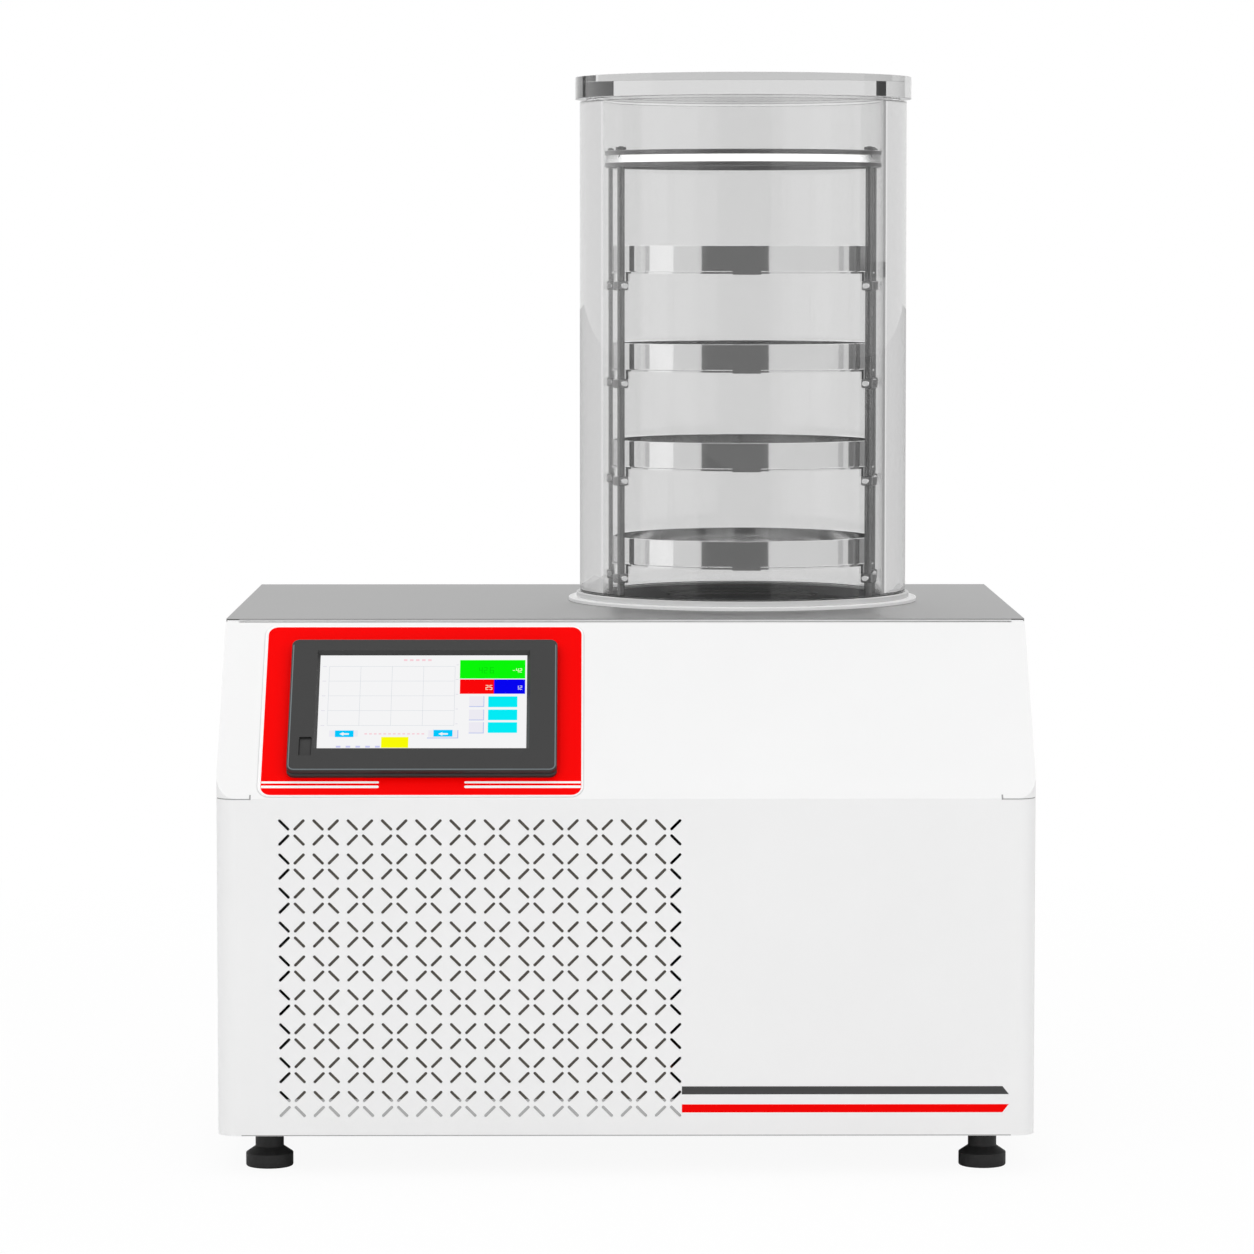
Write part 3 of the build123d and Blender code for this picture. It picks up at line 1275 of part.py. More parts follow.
with BuildPart() as air_valve_knob:
    with BuildSketch(across(air_y + KNOB_GAP)):
        with Locations((-AIR_X, PORT_Z)):
            RegularPolygon(KNOB_R, KNOB_SIDES)
            Circle(SPINDLE_R + SPINDLE_FIT, mode=Mode.SUBTRACT)
    extrude(amount=KNOB_LENGTH)
air_valve_knob.part.label = "air_valve_knob"
export_step(air_valve_knob.part, "parts/air_valve_knob.step")

with BuildPart() as power_inlet:
    with BuildSketch(across(Y_REAR)):
        with Locations((-INLET_X, INLET_Z)):
            RectangleRounded(INLET_PLATE[0], INLET_PLATE[1], PLATE_SHEET)
    extrude(amount=PLATE_SHEET)
    with BuildSketch(across(Y_REAR)):
        with Locations((-INLET_X, INLET_Z)):
            Rectangle(INLET_BODY[0], INLET_BODY[1])
    extrude(amount=-INLET_DEPTH)
    with BuildSketch(across(Y_REAR + PLATE_SHEET)):
        with Locations((-INLET_X, INLET_Z)):
            Rectangle(INLET_BODY[0] - 2 * PLATE_SHEET, INLET_BODY[1] - 2 * PLATE_SHEET)
            with Locations((-PIN_PITCH, 0), (0, PIN_SIZE[1] / 2), (PIN_PITCH, 0)):
                Rectangle(PIN_SIZE[0], PIN_SIZE[1], mode=Mode.SUBTRACT)
    extrude(amount=-INLET_RECESS, mode=Mode.SUBTRACT)
power_inlet.part.label = "power_inlet"
export_step(power_inlet.part, "parts/power_inlet.step")

with BuildPart() as pump_socket:
    with BuildSketch(across(Y_REAR)):
        with Locations((-SOCKET_X, INLET_Z)):
            RectangleRounded(SOCKET_PLATE[0], SOCKET_PLATE[1], PLATE_SHEET)
    extrude(amount=PLATE_SHEET)
    with BuildSketch(across(Y_REAR)):
        with Locations((-SOCKET_X, INLET_Z)):
            Rectangle(SOCKET_BODY[0], SOCKET_BODY[1])
    extrude(amount=-INLET_DEPTH)
    with BuildSketch(across(Y_REAR + PLATE_SHEET)):
        with Locations((-SOCKET_X, INLET_Z)):
            with Locations((-PIN_PITCH, 0), (0, PIN_SIZE[1] / 2), (PIN_PITCH, 0)):
                Rectangle(PIN_SIZE[0], PIN_SIZE[1])
    extrude(amount=-INLET_RECESS, mode=Mode.SUBTRACT)
pump_socket.part.label = "pump_socket"
export_step(pump_socket.part, "parts/pump_socket.step")

# The rocker is a drum segment in a window that clears it all round, turning on its own centre
with BuildPart() as switch_frame:
    with BuildSketch(across(Y_REAR)):
        with Locations((-SWITCH_X, INLET_Z)):
            RectangleRounded(SWITCH_PLATE[0], SWITCH_PLATE[1], PLATE_SHEET)
    extrude(amount=PLATE_SHEET)
    with BuildSketch(across(Y_REAR)):
        with Locations((-SWITCH_X, INLET_Z)):
            Rectangle(SWITCH_BODY[0], SWITCH_BODY[1])
    extrude(amount=-INLET_DEPTH)
    with BuildSketch(across(Y_REAR + PLATE_SHEET)):
        with Locations((-SWITCH_X, INLET_Z)):
            Rectangle(SWITCH_WINDOW[0], SWITCH_WINDOW[1])
    extrude(amount=-INLET_RECESS, mode=Mode.SUBTRACT)
switch_frame.part.label = "switch_frame"
export_step(switch_frame.part, "parts/switch_frame.step")

rocker_r = SWITCH_WINDOW[1] / 2 - ROCKER_GAP
with BuildPart() as switch_rocker:
    with BuildSketch(Plane.YZ.offset(SWITCH_X)):
        with Locations(Location((Y_REAR + PLATE_SHEET - ROCKER_SETBACK, INLET_Z), ROCKER_TILT)):
            Circle(rocker_r)
            with BuildLine():
                Polyline(
                    (rocker_r - ROCKER_DISH, 0),
                    (rocker_r, rocker_r),
                    (2 * rocker_r, 0),
                    (rocker_r, -rocker_r),
                    close=True,
                )
            make_face(mode=Mode.SUBTRACT)
    extrude(amount=SWITCH_WINDOW[0] / 2 - ROCKER_GAP, both=True)
switch_rocker.part.label = "switch_rocker"
export_step(switch_rocker.part, "parts/switch_rocker.step")
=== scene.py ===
"""Looks of the bench-top freeze dryer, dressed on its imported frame.

Places from the frame, the camera and the stage are in metres. Sizes of pieces are in millimetres.
"""

import math

import bmesh
import bpy
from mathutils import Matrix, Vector


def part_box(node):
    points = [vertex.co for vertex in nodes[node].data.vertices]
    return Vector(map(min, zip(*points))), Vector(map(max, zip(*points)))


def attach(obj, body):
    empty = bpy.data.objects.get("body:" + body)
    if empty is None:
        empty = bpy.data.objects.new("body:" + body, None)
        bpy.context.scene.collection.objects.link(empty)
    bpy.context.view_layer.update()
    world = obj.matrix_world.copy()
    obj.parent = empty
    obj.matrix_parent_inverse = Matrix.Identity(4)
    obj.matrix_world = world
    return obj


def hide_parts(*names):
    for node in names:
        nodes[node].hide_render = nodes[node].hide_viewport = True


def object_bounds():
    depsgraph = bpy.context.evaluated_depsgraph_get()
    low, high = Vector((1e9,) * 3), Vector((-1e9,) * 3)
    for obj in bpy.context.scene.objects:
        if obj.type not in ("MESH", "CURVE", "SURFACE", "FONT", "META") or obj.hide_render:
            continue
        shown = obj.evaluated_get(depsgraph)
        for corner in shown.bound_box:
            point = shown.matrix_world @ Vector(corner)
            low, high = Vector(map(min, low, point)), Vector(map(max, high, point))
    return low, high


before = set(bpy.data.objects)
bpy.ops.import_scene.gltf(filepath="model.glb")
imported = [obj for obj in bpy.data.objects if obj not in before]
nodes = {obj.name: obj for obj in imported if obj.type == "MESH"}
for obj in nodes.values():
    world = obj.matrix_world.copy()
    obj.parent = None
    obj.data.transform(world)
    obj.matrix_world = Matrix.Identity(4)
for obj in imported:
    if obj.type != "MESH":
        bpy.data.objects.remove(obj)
cad_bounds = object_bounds()

# ---------- places, from the frame
MM = 0.001
FRONT_Y = cad_bounds[0][1]
DECK_LOW, DECK_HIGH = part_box("deck_plate")
TUBE_LOW, TUBE_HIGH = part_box("chamber_tube")
CHAMBER = Vector(((TUBE_LOW.x + TUBE_HIGH.x) / 2, (TUBE_LOW.y + TUBE_HIGH.y) / 2, 0))
FOLD_Z = 0.277  # height of the fold between the upright front and the slope
SLOPE_RISE = DECK_HIGH.z - FOLD_Z
SLOPE_RUN = DECK_LOW.y - FRONT_Y
SLOPE_ANGLE = math.atan2(SLOPE_RISE, SLOPE_RUN)
SLOPE_NORMAL = Vector((0, -math.sin(SLOPE_ANGLE), math.cos(SLOPE_ANGLE)))
SLOPE_UP = Vector((0, math.cos(SLOPE_ANGLE), math.sin(SLOPE_ANGLE)))
AHEAD = Vector((0, -1, 0))
BACK = Vector((0, 1, 0))
UP = Vector((0, 0, 1))


def on_slope(x, s, lift=0.0):
    """Point on the slope, x across and s up from the fold, in millimetres, lifted off the sheet."""
    return Vector((x * MM, FRONT_Y, FOLD_Z)) + SLOPE_UP * (s * MM) + SLOPE_NORMAL * (lift * MM)


def on_front(x, z, lift=0.0):
    """Point on the upright front, in millimetres, lifted off the sheet."""
    return Vector((x * MM, FRONT_Y - lift * MM, z * MM))


def raised(z):
    """Step straight up by so many millimetres."""
    return Vector((0, 0, z * MM))


# ---------- materials
def add_node(tree, kind, inputs=None, **settings):
    """Adds a node. Each input takes the output that feeds it, or else a plain value."""
    made = tree.nodes.new(kind)
    for name, value in settings.items():
        setattr(made, name, value)
    for socket, value in (inputs or {}).items():
        if isinstance(value, bpy.types.NodeSocket):
            tree.links.new(value, made.inputs[socket])
        else:
            made.inputs[socket].default_value = value
    return made


class Shader:
    """A material built round one Principled shader, with short calls for the usual nodes."""

    def __init__(self, name, **sockets):
        self.material = bpy.data.materials.new(name)
        self.material.use_nodes = True
        self.tree = self.material.node_tree
        self.bsdf = self.tree.nodes["Principled BSDF"]
        for socket, value in sockets.items():
            self.bsdf.inputs[socket.replace("_", " ")].default_value = value

    def feed(self, socket, source):
        """Links an output to a socket of the Principled shader."""
        self.tree.links.new(source, self.bsdf.inputs[socket])

    def position(self, scale=(1, 1, 1)):
        """Object coordinates stretched by scale along each axis."""
        where = add_node(self.tree, "ShaderNodeTexCoord").outputs["Object"]
        inputs = {"Vector": where, "Scale": scale}
        return add_node(self.tree, "ShaderNodeMapping", inputs).outputs["Vector"]

    def noise(self, scale, detail=4.0, stretch=(1, 1, 1), roughness=0.5):
        """Cloud of values from 0 to 1 over the object coordinates."""
        inputs = {"Scale": scale, "Detail": detail, "Roughness": roughness}
        inputs["Vector"] = self.position(stretch)
        return add_node(self.tree, "ShaderNodeTexNoise", inputs).outputs["Fac"]

    def vary_roughness(self, source, low, high):
        """Roughness from low to high as the source goes from 0 to 1."""
        inputs = {"Value": source, "To Min": low, "To Max": high}
        ramp = add_node(self.tree, "ShaderNodeMapRange", inputs)
        self.feed("Roughness", ramp.outputs["Result"])

    def vary_colour(self, source, dark, light, socket="Base Color"):
        """Colour from dark to light as the source goes from 0 to 1."""
        inputs = {"Factor": source, "A": (*dark, 1), "B": (*light, 1)}
        mix = add_node(self.tree, "ShaderNodeMix", inputs, data_type="RGBA")
        self.feed(socket, mix.outputs["Result"])

    def bump(self, source, strength, distance):
        """Relief that follows the source."""
        inputs = {"Height": source, "Strength": strength, "Distance": distance}
        self.feed("Normal", add_node(self.tree, "ShaderNodeBump", inputs).outputs["Normal"])


def tone(level):
    """Linear value of an 8-bit screen level."""
    share = level / 255
    return share / 12.92 if share <= 0.04045 else ((share + 0.055) / 1.055) ** 2.4


def shade(levels):
    """Linear colour of three 8-bit levels, or of one level of grey."""
    each = (levels,) * 3 if isinstance(levels, int) else levels
    return tuple(tone(level) for level in each)


def powder_coat(name, level):
    """Fine orange-peel powder coat."""
    made = Shader(name, Roughness=0.38)
    peel = made.noise(900, 3)
    cloud = made.noise(9, 2)
    made.vary_colour(cloud, shade(level - 2), shade(level + 2))
    made.vary_roughness(peel, 0.32, 0.46)
    made.bump(peel, 0.10, 0.0004)
    return made.material


def brushed_steel(name, level):
    """Steel with fine scratches from side to side."""
    made = Shader(name, Metallic=1.0, Roughness=0.3)
    scratches = made.noise(3.2, 6, (4.0, 260.0, 260.0), 0.62)
    made.vary_colour(scratches, shade(level - 8), shade(level + 8))
    made.vary_roughness(scratches, 0.34, 0.48)
    made.bump(scratches, 0.05, 0.0002)
    return made.material


def plain_metal(name, dark, light, rough, grain=60.0, bump=0.03):
    """Metal with a faint cloud in its colour and its gloss."""
    made = Shader(name, Metallic=1.0, Roughness=rough)
    cloud = made.noise(grain, 5)
    made.vary_colour(cloud, shade(dark), shade(light))
    made.vary_roughness(cloud, rough * 0.8, rough * 1.25)
    made.bump(cloud, bump, 0.0002)
    return made.material


def moulded(name, dark, light, rough, grain=1400.0, bump=0.12, **sockets):
    """Moulded plastic or rubber with a fine grain."""
    made = Shader(name, Roughness=rough, **sockets)
    fine = made.noise(grain, 3)
    cloud = made.noise(30, 3)
    made.vary_colour(cloud, shade(dark), shade(light))
    made.vary_roughness(fine, rough * 0.85, rough * 1.2)
    made.bump(fine, bump, 0.0003)
    return made.material


def acrylic(name, tint, density):
    """Clear cast acrylic that greys with depth and has faint upright draw lines in its polish."""
    clear = {"Roughness": 0.0, "IOR": 1.49, "Transmission_Weight": 1.0}
    made = Shader(name, Base_Color=(tint, tint, tint, 1), **clear)
    made.bump(made.noise(90, 2, (1, 1, 0.002)), 0.0012, 0.0006)
    inputs = {"Color": (0, 0, 0, 1), "Density": density}
    depth = add_node(made.tree, "ShaderNodeVolumeAbsorption", inputs).outputs["Volume"]
    made.tree.links.new(depth, made.tree.nodes["Material Output"].inputs["Volume"])
    return made.material


def fins(name):
    """Stack of thin dusty fins, seen edge on."""
    made = Shader(name, Metallic=0.6, Roughness=0.55)
    inputs = {"Scale": 180.0, "Vector": made.position()}
    bands = {"wave_type": "BANDS", "bands_direction": "X"}
    stripes = add_node(made.tree, "ShaderNodeTexWave", inputs, **bands).outputs["Fac"]
    made.vary_colour(stripes, shade((70, 66, 62)), shade((128, 122, 114)))
    made.bump(stripes, 0.5, 0.001)
    return made.material


def lit_field(name, *levels):
    """Field of a lit screen: dark glass that glows in one colour, cell by cell."""
    glass = {"Base_Color": (0.001, 0.001, 0.001, 1), "Specular_IOR_Level": 0.0}
    made = Shader(name, Roughness=0.35, Emission_Strength=1.0, **glass)
    dark = [part * 0.985 for part in shade(levels)]
    light = [min(1.0, part * 1.015) for part in shade(levels)]
    made.vary_colour(made.noise(2600, 1), dark, light, "Emission Color")
    return made.material


def printed(name, levels, rough=0.42):
    """Printed film, slightly uneven in gloss."""
    made = Shader(name, Roughness=rough, Specular_IOR_Level=0.03)
    cloud = made.noise(140, 3)
    lighter = [min(1.0, part * 1.03) for part in shade(levels)]
    made.vary_colour(cloud, shade(levels), lighter)
    made.vary_roughness(cloud, rough * 0.85, rough * 1.15)
    made.bump(made.noise(1800, 2), 0.05, 0.0002)
    return made.material


WHITE_COAT = powder_coat("white powder coat", 247)
DECK_STEEL = brushed_steel("brushed deck steel", 154)
RING_STEEL = plain_metal("turned steel", 196, 212, 0.30)
FLANGE_STEEL = plain_metal("satin turned steel", 212, 224, 0.50)
DARK_STEEL = plain_metal("dark rolled steel", 104, 122, 0.35, 40.0)
CLAMP_STEEL = plain_metal("clamp steel", 128, 150, 0.28, 80.0)
TRAY_STEEL = plain_metal("polished tray steel", 238, 246, 0.07, 12.0, 0.01)
ROD_STEEL = plain_metal("rack rod steel", 116, 136, 0.22, 200.0)
BASE_STEEL = moulded("rack base steel", 86, 108, 0.6, 300.0, 0.02, Specular_IOR_Level=0.0)
SEAT_WHITE = moulded("white seat polymer", 251, 254, 0.45)
CLEAR = acrylic("clear acrylic", 0.84, 1.6)
LID_CLEAR = acrylic("clear lid acrylic", 0.79, 0.5)
MEMBRANE_RED = printed("red membrane", (255, 0, 0), 0.40)
PRINT_WHITE = printed("white print", 253)
PRINT_GREY = printed("grey print", 76)
PRINT_RED = printed("red print", (252, 2, 2))
BEZEL_GREY = moulded("bezel plastic", 46, 50, 0.42, Specular_IOR_Level=0.4)
RUBBER = moulded("black rubber", 26, 34, 0.62, 900.0, 0.2)
BLACK_PLASTIC = moulded("black plastic", 24, 32, 0.38)
ENAMEL = moulded("black enamel", 18, 24, 0.16, 500.0, 0.04)
ZINC = plain_metal("zinc plated steel", 168, 192, 0.34, 25.0)
COPPER = plain_metal("bare copper", (178, 104, 74), (214, 138, 104), 0.26)
BRASS = plain_metal("machined brass", (196, 160, 92), (218, 184, 118), 0.24)
FINS = fins("condenser fins")
FILTER = moulded("dusty filter", (110, 105, 98), (128, 122, 114), 0.9, 900.0, 0.5)
# Painted highlight: pale grey-blue line along the bezel's rounded rim.
BEZEL_EDGE_HIGHLIGHT = moulded("painted bezel edge highlight", (104, 114, 118), (112, 122, 126), 0.4)
# Painted shadow: faint grey rim just outside the overlay film.
FILM_EDGE_SHADOW = moulded("painted film edge shadow", 222, 228, 0.8)
SCREW_STEEL = plain_metal("zinc screw steel", 170, 190, 0.3, 60.0)
# Painted shadow lines for seams, slits and the casing foot: a dark grey and a pale grey.
DARK_PAINTED_SHADOW = moulded("seam shadow", 84, 92, 0.8)
PALE_PAINTED_SHADOW = moulded("pale seam shadow", 166, 174, 0.8)
HOOP_STEEL = plain_metal("bright hoop steel", 250, 254, 0.16)
FOAM = moulded("insulation foam", 40, 60, 0.9, 420.0, 0.6)
SILICONE = acrylic("clear silicone", 0.95, 0.8)
HOSE_WHITE = moulded("white hose", 214, 226, 0.4)

TRAYS = ("tray_1", "tray_2", "tray_3", "tray_4")
SHELVES = ("tray_shelf_1", "tray_shelf_2", "tray_shelf_3", "tray_shelf_4")
FEET = ("foot_front_left", "foot_rear_left", "foot_front_right", "foot_rear_right")
NODE_MATERIALS = {}
for coat, coated in (
    (WHITE_COAT, ("front_shell", "side_panel_left", "side_panel_right", "rear_panel")),
    (ZINC, ("base_pan", "inner_frame", "foot_lock_nuts", "control_box", "fan_shroud")),
    (DECK_STEEL, ("deck_plate",)),
    (PRINT_WHITE, ("control_overlay",)),
    (BEZEL_GREY, ("hmi_bezel",)),
    (BLACK_PLASTIC, ("hmi_display", "hmi_housing", "hmi_usb_cover", "fan_rotor")),
    (BLACK_PLASTIC, ("power_inlet", "pump_socket", "switch_frame", "switch_rocker")),
    (BLACK_PLASTIC, ("air_valve_knob",)),
    (SEAT_WHITE, ("chamber_seat_ring",)),
    (RING_STEEL, ("chamber_flange", "rack_top_ring", "evaporator_jacket", "vacuum_port")),
    (SILICONE, ("chamber_gasket", "lid_gasket")),
    (CLEAR, ("chamber_tube", "chamber_lid")),
    (BASE_STEEL, ("rack_base", "cold_trap_pot")),
    (ROD_STEEL, ("rack_posts", "rack_nuts")),
    (TRAY_STEEL, TRAYS + SHELVES),
    (FOAM, ("pot_insulation",)),
    (ENAMEL, ("compressor", "fan_motor")),
    (RUBBER, ("compressor_mounts",) + FEET),
    (FINS, ("condenser_core",)),
    (COPPER, ("discharge_line", "liquid_line", "expansion_line", "suction_line")),
    (COPPER, ("filter_drier",)),
    (HOSE_WHITE, ("drain_line",)),
    (BRASS, ("drain_valve_body", "air_valve_body")),
    (MEMBRANE_RED, ("drain_valve_lever",)),
):
    NODE_MATERIALS.update(dict.fromkeys(coated, coat))


def dress_nodes():
    """Gives every node of the frame its material."""
    for name, thing in nodes.items():
        thing.data.materials.clear()
        thing.data.materials.append(NODE_MATERIALS[name])


# ---------- mesh helpers
def make_object(name, builder, material, body="cabinet", replace=(), smooth=30, stage=False):
    """Wraps a finished bmesh as a piece, or as part of the stage."""
    thing = bpy.data.objects.new(name, finished_mesh(name, builder))
    thing.data.materials.append(material)
    bpy.context.scene.collection.objects.link(thing)
    smooth_shade(thing.data, smooth)
    if stage:
        return thing
    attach(thing, body)
    if replace:
        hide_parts(*replace)
    return thing


def finished_mesh(name, builder):
    """Turns a bmesh into a mesh whose faces look outwards."""
    mesh = bpy.data.meshes.new(name)
    bmesh.ops.recalc_face_normals(builder, faces=builder.faces)
    builder.to_mesh(mesh)
    builder.free()
    return mesh


def smooth_shade(mesh, degrees):
    """Smooth shading, but for the edges that turn by more than some degrees."""
    mesh.shade_smooth()
    mesh.set_sharp_from_angle(angle=math.radians(degrees))


def corner_arc(before, corner, after, radius, steps):
    """Points of the small arc that takes the place of a sharp corner."""
    incoming = (before - corner).normalized()
    outgoing = (after - corner).normalized()
    half = incoming.angle(outgoing) / 2
    if radius <= 0 or half > math.radians(88):
        return [corner]
    shortest = min((before - corner).length, (after - corner).length)
    reach = min(radius / math.tan(half), 0.49 * shortest)
    size = reach * math.tan(half)
    middle = corner + (incoming + outgoing).normalized() * (size / math.sin(half))
    first = corner + incoming * reach - middle
    last = corner + outgoing * reach - middle
    start = math.atan2(first.y, first.x)
    sweep = math.remainder(math.atan2(last.y, last.x) - start, 2 * math.pi)
    angles = [start + sweep * step / steps for step in range(steps + 1)]
    return [middle + Vector((math.cos(turn), math.sin(turn))) * size for turn in angles]


def rounded(points, radius, steps=5):
    """Closed outline with rounded corners. A point may carry its own radius as a third number."""
    result = []
    count = len(points)
    flat = [Vector(point[:2]) for point in points]
    for index, point in enumerate(points):
        own = point[2] if len(point) > 2 else radius
        result += corner_arc(flat[index - 1], flat[index], flat[(index + 1) % count], own, steps)
    return result


def corners_of(low, high):
    """Corners of an upright rectangle, from its low and high corner."""
    return (low[0], low[1]), (high[0], low[1]), (high[0], high[1]), (low[0], high[1])


def rectangle(low, high, radius=0.0, steps=6):
    """Outline of an upright rectangle with rounded corners."""
    return rounded(corners_of(low, high), radius, steps)


def inset_rectangle(low, high, radius, inset, steps=6):
    """Outline of a rounded rectangle, pulled in all round."""
    ends = (low[0] + inset, low[1] + inset), (high[0] - inset, high[1] - inset)
    return rectangle(*ends, max(radius - inset, 0.05), steps)


def centred(centre, size):
    """Low and high corner of a box given by its centre and size."""
    low = tuple(middle - length / 2 for middle, length in zip(centre, size))
    return low, tuple(middle + length / 2 for middle, length in zip(centre, size))


def supported(outline, reach=0.12):
    """Adds points near the ends of straight runs, so that smooth shading keeps them straight."""
    result = []
    for index, point in enumerate(outline):
        following = outline[(index + 1) % len(outline)]
        run = following - point
        result.append(point)
        if run.length > 4 * reach:
            result.append(point + run.normalized() * reach)
            result.append(following - run.normalized() * reach)
    return result


def lathe(name, profile, material, replace, radius, segments=256, centre=CHAMBER, body="cabinet"):
    """Turns a closed profile of (r, z) about an upright axis."""
    outline = supported(rounded(profile, radius))
    builder = bmesh.new()
    rings = []
    for step in range(segments):
        turn = 2 * math.pi * step / segments
        spoke = Vector((math.cos(turn), math.sin(turn), 0))
        places = [centre + spoke * p.x * MM + raised(p.y) for p in outline]
        rings.append([builder.verts.new(place) for place in places])
    count = len(outline)
    for step in range(segments):
        this, following = rings[step], rings[(step + 1) % segments]
        for index in range(count):
            after = (index + 1) % count
            if outline[index].x < 1e-6 and outline[after].x < 1e-6:
                continue
            builder.faces.new((this[index], following[index], following[after], this[after]))
    bmesh.ops.remove_doubles(builder, verts=builder.verts, dist=1e-7)
    return make_object(name, builder, material, body=body, replace=replace)


def bridge(builder, loops):
    """Joins a run of loops of equal count, and leaves its ends open."""
    for low, high in zip(loops, loops[1:]):
        for index in range(len(low)):
            after = (index + 1) % len(low)
            builder.faces.new((low[index], low[after], high[after], high[index]))


def close_loops(builder, loops):
    """Joins a stack of loops of equal count, and closes its first and last."""
    bridge(builder, loops)
    builder.faces.new(loops[0])
    builder.faces.new(loops[-1])


def disc(builder, centre, axis, radius, length, edge=0.3, segments=24):
    """Adds a short round bar with chamfered ends, from centre along axis."""
    side = axis.orthogonal().normalized()
    across = axis.cross(side)
    steps = ((0.0, radius - edge), (edge, radius), (length - edge, radius), (length, radius - edge))
    loops = []
    for along, reach in steps:
        loop = []
        for step in range(segments):
            turn = 2 * math.pi * step / segments
            spoke = side * math.cos(turn) + across * math.sin(turn)
            loop.append(builder.verts.new(centre + (axis * along + spoke * reach) * MM))
        loops.append(loop)
    close_loops(builder, loops)


def block(builder, centre, out, size, height, corner=1.3, edge=0.5):
    """Adds an upright block with rounded corners and chamfered rims, standing on centre."""
    side = Vector((-out.y, out.x, 0))
    loops = []
    for z, inset in ((0.0, edge), (edge, 0.0), (height - edge, 0.0), (height, edge)):
        reach = size / 2 - inset
        outline = rectangle((-reach, -reach), (reach, reach), corner, 4)
        places = [centre + (out * p.x + side * p.y + UP * z) * MM for p in outline]
        loops.append([builder.verts.new(place) for place in places])
    close_loops(builder, loops)


def flat_shape(builder, points, thickness, normal):
    """Adds a thin prism over a flat outline, standing off along its normal."""
    lift = normal * thickness * MM
    base = [builder.verts.new(p) for p in points]
    top = [builder.verts.new(p + lift) for p in points]
    builder.faces.new(base)
    builder.faces.new(top)
    bridge(builder, (base, top))


# ---------- stage, lights, camera
FOCAL_SHARE = 4.0106858  # focal length over the width of the sensor
SENSOR_WIDTH = 36
EYE = Vector((-0.0194, FRONT_Y - 3.650, 0.6713))
AIM = Vector((0.005453, 1.0, -0.073613))


def either(tree, first, second):
    """One when either of two light path flags is set."""
    return add_node(tree, "ShaderNodeMath", {0: first, 1: second}, operation="MAXIMUM").outputs[0]


def mixed(tree, share, first, second):
    """Mix of two shaders, with this share of the second."""
    inputs = {0: share, 1: first.outputs[0], 2: second.outputs[0]}
    return add_node(tree, "ShaderNodeMixShader", inputs).outputs[0]


def emitter(name, level, mirrored):
    """Plain glow for a card. A mirrored card shows only in polished metal behind the clear wall."""
    made = bpy.data.materials.new(name)
    made.use_nodes = True
    tree = made.node_tree
    tree.nodes.clear()
    glow = add_node(tree, "ShaderNodeEmission", {"Color": (1, 1, 1, 1), "Strength": level})
    shown = glow.outputs[0]
    if mirrored:
        path = add_node(tree, "ShaderNodeLightPath").outputs
        clear = add_node(tree, "ShaderNodeBsdfTransparent")
        depths = {0: path["Glossy Depth"], 1: path["Transmission Depth"]}
        both = add_node(tree, "ShaderNodeMath", depths, operation="MULTIPLY", use_clamp=True)
        shown = mixed(tree, both.outputs[0], clear, glow)
    add_node(tree, "ShaderNodeOutputMaterial", {"Surface": shown})
    return made


def hide_from(thing, *uses):
    """Keeps a thing out of some kinds of ray."""
    for use in uses:
        setattr(thing, f"visible_{use}", False)


def aimed(name, data, place, direction):
    """Sets up a lamp or camera at a place, looking along a direction."""
    thing = bpy.data.objects.new(name, data)
    thing.location = place
    thing.rotation_euler = direction.to_track_quat("-Z", "Y").to_euler()
    bpy.context.scene.collection.objects.link(thing)
    return thing


def studio_card(name, start, end, level, low, high, mirrored=True, radius=4.6):
    """Upright curved card round the chamber, only for reflections. Angles are from the camera."""
    builder = bmesh.new()
    steps = max(2, int((end - start) / 3))
    columns = []
    for step in range(steps + 1):
        turn = math.radians(start + (end - start) * step / steps)
        foot = CHAMBER + Vector((math.sin(turn), -math.cos(turn), 0)) * radius
        columns.append([builder.verts.new(foot + UP * z) for z in (low, high)])
    for left, right in zip(columns, columns[1:]):
        builder.faces.new((left[0], right[0], right[1], left[1]))
    card = make_object(name, builder, emitter(name, level, mirrored), stage=True)
    hide_from(card, "camera", "diffuse", "shadow", "volume_scatter")


def floor_material():
    """Pale floor: white to the camera and the glass, and dimmed a little by the object's shadow."""
    made = bpy.data.materials.new("pale floor")
    made.use_nodes = True
    tree = made.node_tree
    plain = tree.nodes["Principled BSDF"]
    plain.inputs["Base Color"].default_value = (0.95, 0.95, 0.95, 1)
    plain.inputs["Roughness"].default_value = 0.9
    path = add_node(tree, "ShaderNodeLightPath").outputs
    glow = add_node(tree, "ShaderNodeEmission", {"Strength": 1.0})
    seen = either(tree, path["Is Camera Ray"], path["Is Transmission Ray"])
    place = add_node(tree, "ShaderNodeTexCoord").outputs["Object"]
    reach = add_node(tree, "ShaderNodeVectorMath", {0: place}, operation="LENGTH")
    span = {"From Min": 0.35, "From Max": 1.6, "To Min": 0.93, "To Max": 1.0}
    fade = add_node(tree, "ShaderNodeMapRange", {"Value": reach.outputs["Value"], **span})
    factors = {0: seen, 1: fade.outputs["Result"]}
    share = add_node(tree, "ShaderNodeMath", factors, operation="MULTIPLY").outputs[0]
    tree.links.new(mixed(tree, share, plain, glow), tree.nodes["Material Output"].inputs["Surface"])
    return made


